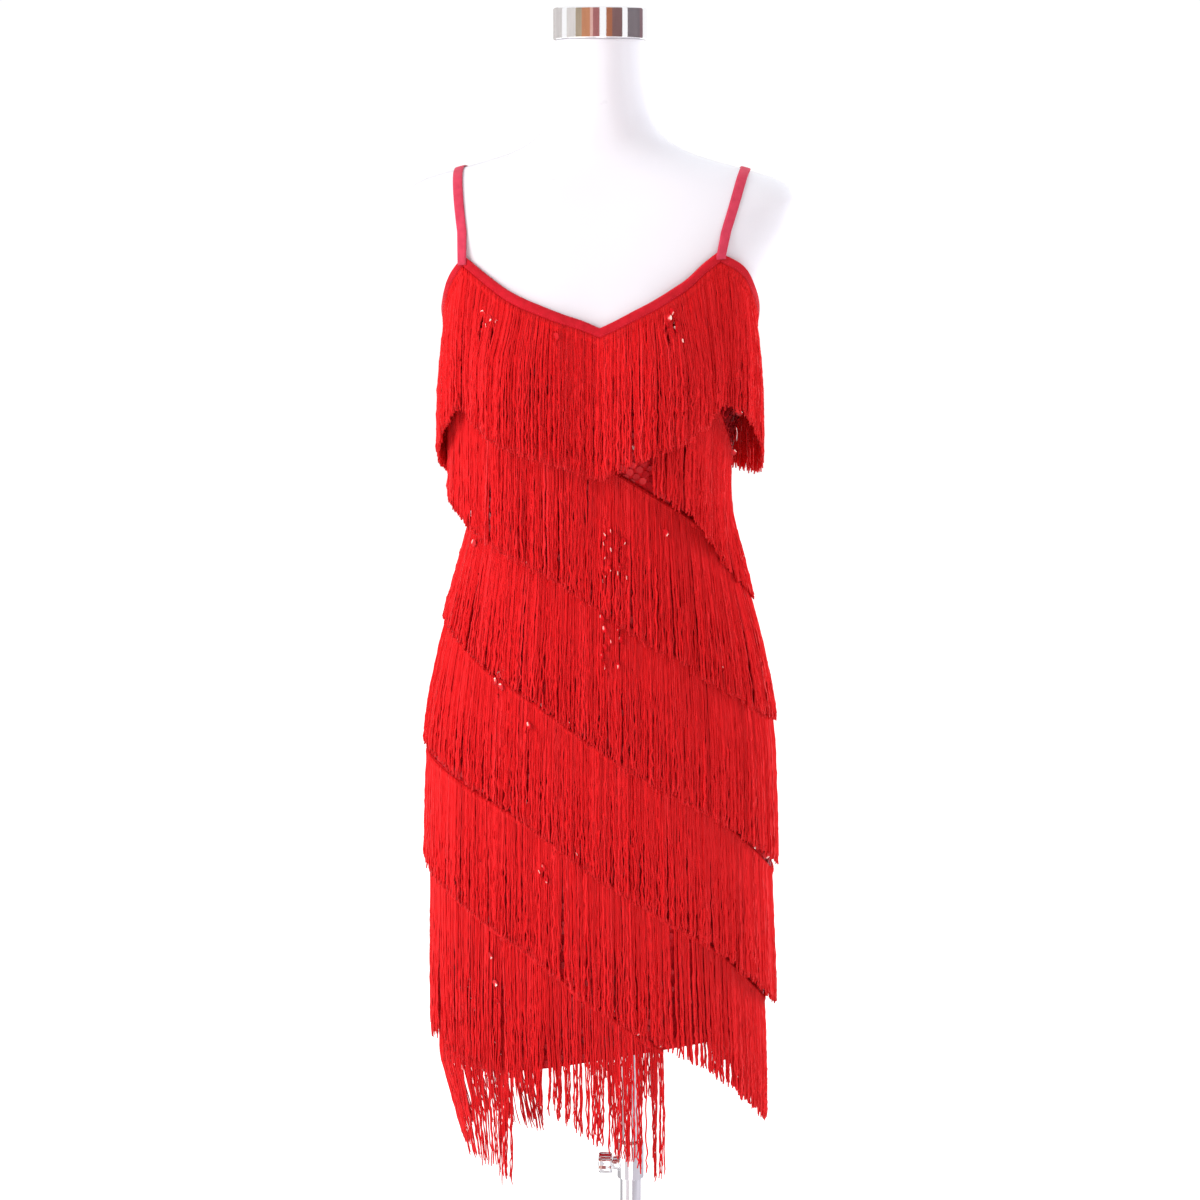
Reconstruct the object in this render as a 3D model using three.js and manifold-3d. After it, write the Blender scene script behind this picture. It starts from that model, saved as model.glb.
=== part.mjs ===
// A sleeveless fringed sheath dress on a limbless dress form, on a telescopic stand.
//
// Millimetres, +Z up. The front faces -Y and +X is the viewer's right. The origin is on the
// floor, under the middle of the stand's pole.
//
// The dress is a front and a back panel sewn at the sides, bound at the neck, armholes and back,
// with two straps and eight rows of fringe. Every row is a woven header tape that slants round the
// body, and the strands hang from its lower edge in locks. The cloth follows one table of body
// sections, and all that lies on the cloth is made from the same sections, moved out.

import * as THREE from "three";
import { mergeVertices } from "three/addons/utils/BufferGeometryUtils.js";
import Module from "manifold-3d";

const wasm = await Module();
wasm.setup();

// ------------------------------------------------------------------ driving sizes

const SEAM_GAP = 0.3; // between pieces that meet
const FORM_OFFSET_X = -32; // the form's middle, from the pole's axis

const CLOTH = 1.6; // wall of the sequinned cloth
const EASE = 3.0; // between the form and the cloth
const BINDING_GAP = 0.8; // between the cloth and a binding, which has the cloth's own corners
const TAPE_GAP = 1.2; // between the cloth's true surface and a fringe header or a strap
const TAPE_THICK = 1.2; // binding and fringe header
const BINDING_HEIGHT = 6;
const HEADER_HEIGHT = 9;

const LOCK_WIDTH = 21; // one lock of strands at its root
const LOCK_PITCH = 29; // from one lock to the next, along the header
const LOCK_THICK = 1.4;
const LOCK_TAPER = 0.72; // width at the tips, as a share of the root's
// Where a lock has sections, as shares of its drop: over the bust or hips, and where it hangs straight.
const LOCK_STOPS = { curved: [0.2, 0.58, 1], plain: [0.35, 1] };
const HANG_STEP = 12; // how finely a strand feels for the cloth above it

const STRAP_WIDTH = 10;
const STRAP_THICK = 1.4;
const STRAP_LIFT = 0.8; // between the form and the strap
const STRAP_CLEAR = 1.6; // between a strap's edge and the binding beside it
const STRAP_STATIONS = 24;

const SHELL = 3.5; // wall of the form
const FORM_FOOT_Z = 600;
const HIP_Z = 832; // below the hips the form narrows inside the skirt
const FORM_NARROWING = 26;
const NECK_TOP_Z = 1529;
const FORM_SIDES = 24;

const CUP = { turn: 34, z: 1195, rise: 17, spreadTurn: 21, spreadZ: 52 };

const BASE_RADIUS = 170;
const BASE_TOP_Z = 8;
const TUBE = { outer: 11, inner: 9.7, topZ: 344 };
const MAST = { outer: 9, inner: 7.7, bottomZ: 225, topZ: 592 };
const COLLAR = { outer: 14, bottomZ: 337, topZ: 377 };
const SCREW_Z = 352;
const ROUND_SIDES = 20;

// Sections of the body at heights z: half width, depth to the front and to the back of the middle,
// how square the ring is, and the middle's own place.
const BODY = [
  { z: 470, half: 162, front: 110, back: 114, square: 2.3, midX: 4, midY: 0 },
  { z: 563, half: 168, front: 113, back: 120, square: 2.3, midX: 2, midY: 0 },
  { z: 657, half: 174, front: 116, back: 127, square: 2.3, midX: 1, midY: 0 },
  { z: 750, half: 177, front: 117, back: 131, square: 2.3, midX: 0, midY: 0 },
  { z: 832, half: 175, front: 116, back: 131, square: 2.3, midX: 0, midY: 0 },
  { z: 913, half: 162, front: 111, back: 120, square: 2.25, midX: 0, midY: 0 },
  { z: 993, half: 143, front: 103, back: 103, square: 2.2, midX: 0, midY: 0 },
  { z: 1073, half: 128, front: 97, back: 92, square: 2.2, midX: 0, midY: 0 },
  { z: 1133, half: 136, front: 100, back: 95, square: 2.2, midX: 0, midY: 0 },
  { z: 1197, half: 150, front: 105, back: 100, square: 2.25, midX: 0, midY: 0 },
  { z: 1246, half: 156, front: 102, back: 102, square: 2.3, midX: 0, midY: 0 },
  { z: 1281, half: 166, front: 96, back: 101, square: 2.4, midX: 0, midY: 0 },
  { z: 1320, half: 189, front: 86, back: 96, square: 2.6, midX: 0, midY: 0 },
  { z: 1354, half: 199, front: 75, back: 88, square: 2.8, midX: 0, midY: 0 },
  { z: 1376, half: 201, front: 66, back: 80, square: 2.7, midX: 0, midY: 1 },
  { z: 1391, half: 182, front: 59, back: 73, square: 2.4, midX: 0, midY: 2 },
  { z: 1403, half: 141, front: 54, back: 66, square: 2.1, midX: 0, midY: 4 },
  { z: 1415, half: 100, front: 51, back: 60, square: 2.0, midX: 0, midY: 6 },
  { z: 1427, half: 75, front: 50, back: 56, square: 2.0, midX: 0, midY: 7 },
  { z: 1446, half: 59, front: 49, back: 53, square: 2.0, midX: 0, midY: 6 },
  { z: 1479, half: 50, front: 48, back: 50, square: 2.0, midX: 0, midY: 2 },
  { z: NECK_TOP_Z, half: 47.5, front: 47.5, back: 47.5, square: 2.0, midX: 0, midY: -3 },
];

// Heights at which the form has rings, and at which the panels have rows below the bust.
const FORM_ROWS = [
  FORM_FOOT_Z, 685, 762, 835, 902, 957, 1002, 1042, 1078, 1118, 1158, 1192, 1222, 1252, 1286,
  1320, 1354, 1376, 1391, 1403, 1415, 1427, 1446, 1479, NECK_TOP_Z,
];
const PANEL_ROWS = [575, 660, 742, 817, 888, 943, 988, 1028, 1063, 1098, 1133, 1165, 1193, 1218];
const PANEL_TOP_SHARES = [0.28, 0.54, 0.78, 1]; // rows between the last of those and the top edge

// The panels' top edge by turn: from the back's scoop by the left armhole to the left strap's point,
// the V a little right of the middle, the right strap's point, and by the right armhole to the scoop.
const TOP_EDGE = [
  { turn: -180, z: 1244 },
  { turn: -170, z: 1245 },
  { turn: -160, z: 1246 },
  { turn: -151, z: 1249 },
  { turn: -142, z: 1253 },
  { turn: -134, z: 1258 },
  { turn: -125, z: 1247 },
  { turn: -115, z: 1240 },
  { turn: -106, z: 1238 },
  { turn: -98, z: 1241 },
  { turn: -90, z: 1249 },
  { turn: -83, z: 1258 },
  { turn: -76, z: 1270 },
  { turn: -68, z: 1292 },
  { turn: -61, z: 1313 },
  { turn: -54, z: 1297 },
  { turn: -46, z: 1283 },
  { turn: -37, z: 1273 },
  { turn: -27, z: 1265 },
  { turn: -16, z: 1257 },
  { turn: -6, z: 1251 },
  { turn: 3, z: 1244 },
  { turn: 11, z: 1251 },
  { turn: 20, z: 1260 },
  { turn: 30, z: 1270 },
  { turn: 39, z: 1281 },
  { turn: 47, z: 1293 },
  { turn: 53, z: 1307 },
  { turn: 58, z: 1318 },
  { turn: 65, z: 1306 },
  { turn: 72, z: 1287 },
  { turn: 80, z: 1269 },
  { turn: 90, z: 1252 },
  { turn: 98, z: 1242 },
  { turn: 106, z: 1238 },
  { turn: 115, z: 1240 },
  { turn: 125, z: 1247 },
  { turn: 134, z: 1258 },
  { turn: 142, z: 1253 },
  { turn: 151, z: 1249 },
  { turn: 160, z: 1246 },
  { turn: 170, z: 1245 },
  { turn: 180, z: 1244 },
];

// A strap joins the edge's points at two turns. Its distance from the form's middle is given where
// it leaves the front's point, over the shoulder, and where it reaches the back's point.
const STRAPS = {
  left: { side: -1, frontTurn: -61, backTurn: -134, frontX: 134.5, topX: 143, backX: 93 },
  right: { side: 1, frontTurn: 58, backTurn: 134, frontX: 128.8, topX: 147, backX: 93 },
};

// Lines round the body: their heights at turns of -90, -45, 0, 45, 90 and 180 degrees. A row of
// fringe also has the turns it runs between, the drop from the header's top to the tips, how far
// the tips stand off the cloth, how freely the strands hang past a hollow in the body, and how
// much they lean inwards below the hem.
const HEM = { left: 474, midLeft: 482, front: 499, midRight: 513, right: 518, back: 498 };
const ALL_ROUND = { from: -180, to: 180 };
const FRINGES = [
  {
    name: "fringe_bust", left: 1350, midLeft: 1310, front: 1262, midRight: 1203, right: 1108, back: 1215,
    from: 28, to: 158, drop: 145, stand: 5.2, free: 0.55, lean: 0, bow: 1.2, stops: LOCK_STOPS.curved,
  },
  {
    name: "fringe_waist", left: 1214, midLeft: 1179, front: 1118, midRight: 1064, right: 1003, back: 1105,
    ...ALL_ROUND, drop: 147, stand: 4.6, free: 0.9, lean: 0, bow: 1.2, stops: LOCK_STOPS.curved,
  },
  {
    name: "fringe_high_hip", left: 1043, midLeft: 1023, front: 973, midRight: 910, right: 842, back: 945,
    ...ALL_ROUND, drop: 145, stand: 4.6, free: 0.8, lean: 0, bow: 1.2, stops: LOCK_STOPS.curved,
  },
  {
    name: "fringe_hip", left: 950, midLeft: 896, front: 831, midRight: 768, right: 678, back: 815,
    ...ALL_ROUND, drop: 136, stand: 4.4, free: 1, lean: 0, bow: 1.2, stops: LOCK_STOPS.plain,
  },
  {
    name: "fringe_thigh", left: 805, midLeft: 768, front: 701, midRight: 631, right: 541, back: 675,
    ...ALL_ROUND, drop: 134, stand: 4.4, free: 1, lean: 0.02, bow: 1.2, stops: LOCK_STOPS.plain,
  },
  {
    name: "fringe_low", left: 688, midLeft: 637, front: 560, midRight: 497, right: 455, back: 555,
    from: -205, to: 32, drop: 137, stand: 4, free: 1, lean: 0.03, bow: 1.2, stops: LOCK_STOPS.plain,
  },
  {
    name: "fringe_corner", left: 577, midLeft: 536, front: 470, midRight: 440, right: 430, back: 478,
    from: -140, to: -36, drop: 158, stand: 3, free: 1, lean: 0.2, bow: 1.2, stops: LOCK_STOPS.plain,
  },
];
const NECK_FRINGE = {
  name: "fringe_neck", drop: 141, stand: 9, free: 1, lean: 0, bow: 3, stops: LOCK_STOPS.curved,
};
const NECK_FRINGE_DROP = 1.8; // from the bindings' lower edge to the neck fringe's header
const NECK_FRINGE_START = 3; // the turn of the V's corner, where its header begins and ends

// ------------------------------------------------------------------ materials

const CLOTH_RED = new THREE.MeshStandardMaterial({ color: 0x9c1016, roughness: 0.5, metalness: 0.1 });
const FRINGE_RED = new THREE.MeshStandardMaterial({ color: 0xd4141c, roughness: 0.45, metalness: 0 });
const TRIM_RED = new THREE.MeshStandardMaterial({ color: 0xcf2233, roughness: 0.6, metalness: 0 });
const FORM_WHITE = new THREE.MeshStandardMaterial({ color: 0xf2f0f2, roughness: 0.35, metalness: 0 });
const CHROME = new THREE.MeshStandardMaterial({ color: 0xd9dadd, roughness: 0.12, metalness: 1 });

// ------------------------------------------------------------------ small helpers

const radians = THREE.MathUtils.degToRad;

// A smooth function through the rows of a table, giving every named column at a place.
function trackOf(rows, placeName, columns) {
  const places = rows.map((row) => row[placeName]);
  const values = rows.flatMap((row) => columns.map((name) => row[name]));
  const cubic = new THREE.CubicInterpolant(places, values, columns.length);
  return (place) => {
    const held = THREE.MathUtils.clamp(place, places[0], places[places.length - 1]);
    const found = cubic.evaluate(held);
    return Object.fromEntries(columns.map((name, i) => [name, found[i]]));
  };
}

// A straight-lined function through the rows of a table.
function polylineOf(rows, placeName, valueName) {
  return (place) => {
    const next = Math.max(1, rows.findIndex((row) => row[placeName] >= place - 1e-9));
    const [a, b] = [rows[next - 1], rows[next]];
    return THREE.MathUtils.mapLinear(place, a[placeName], b[placeName], a[valueName], b[valueName]);
  };
}

// The height of a line round the body at a turn, from its six named heights.
function heightRound(line) {
  const rows = [
    { turn: -270, z: line.right },
    { turn: -180, z: line.back },
    { turn: -90, z: line.left },
    { turn: -45, z: line.midLeft },
    { turn: 0, z: line.front },
    { turn: 45, z: line.midRight },
    { turn: 90, z: line.right },
    { turn: 180, z: line.back },
    { turn: 270, z: line.left },
  ];
  const track = trackOf(rows, "turn", ["z"]);
  return (turn) => track(wrapTurn(turn)).z;
}

const wrapTurn = (turn) => THREE.MathUtils.euclideanModulo(turn + 180, 360) - 180;

// Collects corners and faces, and gives them as a geometry. Faces are turned so they look out.
class Skin {
  constructor() {
    this.corners = [];
    this.faces = [];
  }
  add(point) {
    return this.corners.push(point) - 1;
  }
  tri(a, b, c) {
    this.faces.push(a, b, c);
  }
  quad(a, b, c, d) {
    this.tri(a, b, c);
    this.tri(a, c, d);
  }
  geometry() {
    const flat = this.corners.flatMap((p) => [p.x, p.y, p.z]);
    return new THREE.BufferGeometry()
      .setAttribute("position", new THREE.Float32BufferAttribute(flat, 3))
      .setIndex(this.faces);
  }
}

function meshOf(name, geometry, material) {
  const mesh = new THREE.Mesh(geometry, material);
  geometry.computeVertexNormals();
  mesh.name = name;
  return mesh;
}

// ------------------------------------------------------------------ the body's surface

const bodySection = trackOf(BODY, "z", ["half", "front", "back", "square", "midX", "midY"]);

// A turn is the angle round the body from the front's middle, positive towards +X.
function outward(turn) {
  return new THREE.Vector2(Math.sin(radians(turn)), -Math.cos(radians(turn)));
}

function cupRise(turn, z) {
  const away = (Math.abs(wrapTurn(turn)) - CUP.turn) / CUP.spreadTurn;
  const above = (z - CUP.z) / CUP.spreadZ;
  return CUP.rise * Math.exp(-away * away - above * above);
}

function bodyRadius(turn, z) {
  const s = bodySection(z);
  const way = outward(turn);
  const depth = way.y < 0 ? s.front : s.back;
  const sum = Math.abs(way.x / s.half) ** s.square + Math.abs(way.y / depth) ** s.square;
  return sum ** (-1 / s.square) + cupRise(turn, z);
}

function pointAt(turn, z, radius) {
  const s = bodySection(z);
  const way = outward(turn);
  return new THREE.Vector3(s.midX + way.x * radius, s.midY + way.y * radius, z);
}

// A point on the body, moved out by a distance.
const onBody = (turn, z, lift) => pointAt(turn, z, bodyRadius(turn, z) + lift);

const topEdgeWrapped = polylineOf(TOP_EDGE, "turn", "z");
const topEdge = (turn) => topEdgeWrapped(wrapTurn(turn));
const hemHeight = heightRound(HEM);

// ------------------------------------------------------------------ the dress's two panels

// A panel is a wall between a grid of outer points and a grid of inner points.
function wallGeometry(outer, inner) {
  const skin = new Skin();
  const place = (grid) => grid.map((column) => column.map((p) => skin.add(p)));
  const [o, i] = [place(outer), place(inner)];
  const lastColumn = outer.length - 1;
  const lastRow = outer[0].length - 1;
  for (let c = 0; c < lastColumn; c++) {
    for (let r = 0; r < lastRow; r++) {
      skin.quad(o[c][r], o[c + 1][r], o[c + 1][r + 1], o[c][r + 1]);
      skin.quad(i[c][r], i[c][r + 1], i[c + 1][r + 1], i[c + 1][r]);
    }
    skin.quad(o[c][0], i[c][0], i[c + 1][0], o[c + 1][0]);
    skin.quad(o[c][lastRow], o[c + 1][lastRow], i[c + 1][lastRow], i[c][lastRow]);
  }
  for (let r = 0; r < lastRow; r++) {
    skin.quad(o[0][r], o[0][r + 1], i[0][r + 1], i[0][r]);
    skin.quad(o[lastColumn][r], i[lastColumn][r], i[lastColumn][r + 1], o[lastColumn][r + 1]);
  }
  return skin.geometry();
}

function panelHeights(turn) {
  const lastRow = PANEL_ROWS[PANEL_ROWS.length - 1];
  const upper = PANEL_TOP_SHARES.map((share) => THREE.MathUtils.lerp(lastRow, topEdge(turn), share));
  return [hemHeight(turn), ...PANEL_ROWS, ...upper];
}

function panelGeometry(turns) {
  const grid = (lift) => turns.map((turn) => panelHeights(turn).map((z) => onBody(turn, z, lift)));
  return wallGeometry(grid(CLOTH), grid(0));
}

// The turns of the top edge's rows between two turns, which may go on past the back's middle.
function edgeTurns(from, to) {
  const twiceRound = new Set(TOP_EDGE.flatMap(({ turn }) => [turn, turn + 360]));
  return [...twiceRound].filter((turn) => turn > from && turn < to).sort((a, b) => a - b);
}

// The turns of a panel's columns, with the side seam's gap taken off at both ends.
function panelTurns(first, last) {
  const seamTurn = 0.06;
  return [first + seamTurn, ...edgeTurns(first, last), last - seamTurn];
}

// ------------------------------------------------------------------ tapes, with or without locks

// Places along a line round the body at even steps of its own length.
function evenTurns(from, to, heightAt, step) {
  const fine = [];
  const stepCount = 720;
  let length = 0;
  let before = null;
  for (let k = 0; k <= stepCount; k++) {
    const turn = THREE.MathUtils.lerp(from, to, k / stepCount);
    const here = onBody(turn, heightAt(turn), CLOTH);
    if (before) length += here.distanceTo(before);
    fine.push({ turn, length });
    before = here;
  }
  const turnAt = polylineOf(fine, "length", "turn");
  const count = 2 * Math.round(length / step / 2);
  return Array.from({ length: count + 1 }, (_, k) => turnAt((length * k) / count));
}

// How far out a strand hangs at a height: as far as the widest place that it has passed.
function hangRadius(turn, rootZ, z, free) {
  const lowest = hemHeight(turn);
  const here = bodyRadius(turn, Math.max(z, lowest));
  let widest = here;
  for (let above = rootZ; above > Math.max(z, lowest); above -= HANG_STEP) {
    widest = Math.max(widest, bodyRadius(turn, above));
  }
  return THREE.MathUtils.lerp(here, widest, free);
}

// A section of a lock at one turn: an outer and an inner point at a share of the drop.
function strandPoints(row, turn, rootZ, share) {
  const z = rootZ - (row.drop - HEADER_HEIGHT) * share;
  const belowHem = Math.max(0, hemHeight(turn) - z);
  const rise = 1 - (1 - share) ** row.bow;
  const lift = CLOTH + TAPE_GAP + (row.stand - TAPE_GAP) * rise - row.lean * belowHem;
  const radius = hangRadius(turn, rootZ, z, row.free) + lift;
  const thick = THREE.MathUtils.lerp(TAPE_THICK, LOCK_THICK, Math.min(1, share * 4));
  return { outer: pointAt(turn, z, radius + thick), inner: pointAt(turn, z, radius) };
}

// The four corners of a tape's section at a turn.
function tapeCorners(turn, topZ, height, gap) {
  const [near, far] = [CLOTH + gap, CLOTH + gap + TAPE_THICK];
  return {
    outerTop: onBody(turn, topZ, far),
    outerBottom: onBody(turn, topZ - height, far),
    innerTop: onBody(turn, topZ, near),
    innerBottom: onBody(turn, topZ - height, near),
  };
}

// A tape through stations round the body. Where row is given, a lock hangs from every stretch
// that has lock set, and shares its root with the tape's lower edge.
function tapeGeometry({ stations, closed, heightAt, height, gap, row }) {
  const skin = new Skin();
  const rings = stations.map((station) => {
    const corners = tapeCorners(station.turn, heightAt(station.turn), height, gap);
    return Object.fromEntries(Object.entries(corners).map(([name, p]) => [name, skin.add(p)]));
  });
  const stretchCount = closed ? stations.length : stations.length - 1;
  for (let k = 0; k < stretchCount; k++) {
    const [a, b] = [rings[k], rings[(k + 1) % rings.length]];
    skin.quad(a.outerBottom, b.outerBottom, b.outerTop, a.outerTop);
    skin.quad(a.innerTop, b.innerTop, b.innerBottom, a.innerBottom);
    skin.quad(a.outerTop, b.outerTop, b.innerTop, a.innerTop);
    if (stations[k].lock) {
      addLock(skin, row, heightAt, height, stations[k].turn, stations[k].lockEnd, a, b);
    } else {
      skin.quad(a.outerBottom, a.innerBottom, b.innerBottom, b.outerBottom);
    }
  }
  if (!closed) {
    const [a, b] = [rings[0], rings[rings.length - 1]];
    skin.quad(a.outerTop, a.innerTop, a.innerBottom, a.outerBottom);
    skin.quad(b.outerTop, b.outerBottom, b.innerBottom, b.innerTop);
  }
  return skin.geometry();
}

// One lock from turn p to turn q, below the tape's corners a and b.
function addLock(skin, row, heightAt, height, p, q, a, b) {
  let above = [a.outerBottom, b.outerBottom, b.innerBottom, a.innerBottom];
  for (const share of row.stops) {
    const inset = ((q - p) * (1 - LOCK_TAPER) * share) / 2;
    const at = (turn) => strandPoints(row, turn, heightAt(turn) - height, share);
    const [left, right] = [at(p + inset), at(q - inset)];
    const ring = [left.outer, right.outer, right.inner, left.inner].map((point) => skin.add(point));
    for (let k = 0; k < 4; k++) {
      const next = (k + 1) % 4;
      skin.quad(ring[k], ring[next], above[next], above[k]);
    }
    above = ring;
  }
  skin.quad(above[3], above[2], above[1], above[0]);
}

// A row of fringe: stations for a lock and the bare stretch after it, in turn.
function fringeGeometry(row, heightAt, from, to) {
  const closed = to - from >= 360;
  const ends = evenTurns(from, to, heightAt, LOCK_PITCH);
  const stations = [];
  ends.slice(0, -1).forEach((turn, k) => {
    const lockEnd = THREE.MathUtils.lerp(turn, ends[k + 1], LOCK_WIDTH / LOCK_PITCH);
    stations.push({ turn, lock: true, lockEnd }, { turn: lockEnd, lock: false });
  });
  if (!closed) stations.pop();
  if (!closed) stations.push({ turn: stations[stations.length - 1].lockEnd, lock: false });
  return tapeGeometry({ stations, closed, heightAt, height: HEADER_HEIGHT, gap: TAPE_GAP, row });
}

// A binding follows the panels' top edge between two turns.
function bindingGeometry(from, to) {
  const shortest = 1;
  const turns = [from, ...edgeTurns(from + shortest, to - shortest), to];
  const stations = turns.map((turn) => ({ turn, lock: false }));
  const size = { height: BINDING_HEIGHT, gap: BINDING_GAP };
  return tapeGeometry({ stations, closed: false, heightAt: topEdge, ...size });
}

// ------------------------------------------------------------------ straps

function insideForm(point) {
  const s = bodySection(point.z);
  const turn = THREE.MathUtils.radToDeg(Math.atan2(point.x - s.midX, -(point.y - s.midY)));
  const reach = Math.hypot(point.x - s.midX, point.y - s.midY);
  return reach < bodyRadius(turn, point.z) - EASE;
}

// Where a line from inside the shoulder leaves the form, found by halving.
function leavesForm(start, way) {
  let [near, far] = [0, 200];
  for (let k = 0; k < 30; k++) {
    const middle = (near + far) / 2;
    if (insideForm(start.clone().addScaledVector(way, middle))) near = middle;
    else far = middle;
  }
  return start.clone().addScaledVector(way, far);
}

// How many degrees of turn a length takes up along the cloth, at a point of the top edge.
function turnAcross(turn, length) {
  const nearby = 0.5;
  const [before, after] = [turn - nearby, turn + nearby].map((t) => onBody(t, topEdge(turn), CLOTH));
  return (length * 2 * nearby) / before.distanceTo(after);
}

// One edge of a strap: up from the front's point, over the shoulder, down to the back's. The
// edge is -1 towards the neck and 1 towards the arm.
function strapEdge({ side, frontTurn, backTurn, frontX, topX, backX }, edge) {
  const sewnDown = BINDING_HEIGHT / 2;
  const onCloth = (turn, down) => onBody(turn, topEdge(turn) - down, CLOTH + TAPE_GAP);
  const half = (side * edge * STRAP_WIDTH) / 2;
  const front = frontTurn + turnAcross(frontTurn, half);
  const back = backTurn - turnAcross(backTurn, half);
  const centre = new THREE.Vector3(0, 0, 1334);
  const [first, last] = [radians(4), radians(213)];
  const crossing = Array.from({ length: STRAP_STATIONS - 4 }, (_, k) => {
    const angle = THREE.MathUtils.lerp(first, last, k / (STRAP_STATIONS - 5));
    const way = new THREE.Vector3(0, -Math.cos(angle), Math.sin(angle));
    const [endX, endAngle] = angle < Math.PI / 2 ? [frontX, first] : [backX, last];
    const share = (1 - Math.sin(angle)) / (1 - Math.sin(endAngle));
    const x = side * THREE.MathUtils.lerp(topX, endX, share) + half;
    return leavesForm(centre.clone().setX(x), way).addScaledVector(way, STRAP_LIFT);
  });
  const [foot, end] = [front, back].map((turn) => [onCloth(turn, sewnDown), onCloth(turn, 0)]);
  return [...foot, ...crossing, ...end.reverse()];
}

function strapGeometry(strap) {
  const [neckEdge, armEdge] = [strapEdge(strap, -1), strapEdge(strap, 1)];
  const lastStation = neckEdge.length - 1;
  const rise = neckEdge.map((point, k) => {
    const along = neckEdge[Math.min(k + 1, lastStation)].clone().sub(neckEdge[Math.max(k - 1, 0)]);
    const across = armEdge[k].clone().sub(point);
    return across.cross(along).setLength(strap.side * STRAP_THICK);
  });
  const inner = [neckEdge, armEdge];
  const outer = inner.map((edge) => edge.map((point, k) => point.clone().add(rise[k])));
  return facingOut(wallGeometry(outer, inner));
}

// ------------------------------------------------------------------ solids

function solidOf(geometry) {
  const bare = geometry.clone();
  bare.deleteAttribute("normal");
  bare.deleteAttribute("uv");
  const merged = mergeVertices(bare, 1e-3);
  return new wasm.Manifold(
    new wasm.Mesh({
      numProp: 3,
      vertProperties: new Float32Array(merged.attributes.position.array),
      triVerts: new Uint32Array(merged.index.array),
    }),
  );
}

function geometryOf(solid) {
  const mesh = solid.getMesh();
  return new THREE.BufferGeometry()
    .setAttribute("position", new THREE.BufferAttribute(new Float32Array(mesh.vertProperties), 3))
    .setIndex(new THREE.BufferAttribute(new Uint32Array(mesh.triVerts), 1));
}

// Turns a closed geometry's faces round if they look inwards.
function facingOut(geometry) {
  if (solidOf(geometry).volume() > 0) return geometry;
  const order = Array.from(geometry.index.array);
  for (let k = 0; k < order.length; k += 3) {
    [order[k + 1], order[k + 2]] = [order[k + 2], order[k + 1]];
  }
  return geometry.setIndex(order);
}

// A solid turned about the Z axis, from its profile's radii and heights.
function turned(profile, sides = ROUND_SIDES) {
  const points = profile.map(([radius, z]) => new THREE.Vector2(radius, z));
  const geometry = new THREE.LatheGeometry(points, sides).rotateX(Math.PI / 2);
  return facingOut(mergedIndexed(geometry));
}

function mergedIndexed(geometry) {
  geometry.deleteAttribute("normal");
  geometry.deleteAttribute("uv");
  const merged = mergeVertices(geometry, 1e-3);
  const order = Array.from(merged.index.array);
  const kept = [];
  for (let k = 0; k < order.length; k += 3) {
    const [a, b, c] = order.slice(k, k + 3);
    if (a !== b && b !== c && a !== c) kept.push(a, b, c);
  }
  return merged.setIndex(kept);
}

// A ring round the Z axis, from an inner and an outer radius.
function ringProfile(inner, outer, bottomZ, topZ, chamfer = 0) {
  return [
    [inner, bottomZ],
    [outer - chamfer, bottomZ],
    [outer, bottomZ + chamfer],
    [outer, topZ - chamfer],
    [outer - chamfer, topZ],
    [inner, topZ],
    [inner, bottomZ],
  ];
}

// ------------------------------------------------------------------ the dress form

function formInset(z) {
  const share = THREE.MathUtils.clamp((HIP_Z - z) / (HIP_Z - FORM_FOOT_Z), 0, 1);
  return EASE + FORM_NARROWING * share * share * (3 - 2 * share);
}

const onForm = (turn, z, lift = 0) => onBody(turn, z, lift - formInset(z));

// The way out of the form's surface at a place, from its neighbours.
function formNormal(turn, z) {
  const nearby = 0.8;
  const round = onForm(turn + nearby, z).sub(onForm(turn - nearby, z));
  const low = Math.max(z - nearby, FORM_FOOT_Z);
  const high = Math.min(z + nearby, NECK_TOP_Z);
  const up = onForm(turn, high).sub(onForm(turn, low));
  return round.cross(up).normalize();
}

// The form's corners stand closer together at its sides, where it is round, than in front.
function formTurns() {
  const sideways = 1.5;
  return Array.from({ length: FORM_SIDES }, (_, k) => {
    const angle = (2 * Math.PI * k) / FORM_SIDES;
    return THREE.MathUtils.radToDeg(Math.atan2(sideways * Math.sin(angle), Math.cos(angle)));
  });
}

// The form's shell: closed at the neck's top and open at its foot.
function formGeometry() {
  const skin = new Skin();
  const turns = formTurns();
  const outer = FORM_ROWS.map((z) => turns.map((turn) => skin.add(onForm(turn, z))));
  const inner = FORM_ROWS.map((z) =>
    turns.map((turn) => {
      const wall = onForm(turn, z).addScaledVector(formNormal(turn, z), -SHELL);
      if (z === NECK_TOP_Z) wall.z = NECK_TOP_Z - SHELL;
      if (z === FORM_FOOT_Z) wall.z = FORM_FOOT_Z;
      return skin.add(wall);
    }),
  );
  const top = FORM_ROWS.length - 1;
  const crown = skin.add(pointAt(0, NECK_TOP_Z, 0));
  const underCrown = skin.add(pointAt(0, NECK_TOP_Z, 0).setZ(NECK_TOP_Z - SHELL));
  for (let k = 0; k < FORM_SIDES; k++) {
    const n = (k + 1) % FORM_SIDES;
    for (let r = 0; r < top; r++) {
      skin.quad(outer[r][k], outer[r][n], outer[r + 1][n], outer[r + 1][k]);
      skin.quad(inner[r][k], inner[r + 1][k], inner[r + 1][n], inner[r][n]);
    }
    skin.quad(outer[0][k], inner[0][k], inner[0][n], outer[0][n]);
    skin.tri(outer[top][k], outer[top][n], crown);
    skin.tri(inner[top][n], inner[top][k], underCrown);
  }
  return skin.geometry();
}

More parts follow.
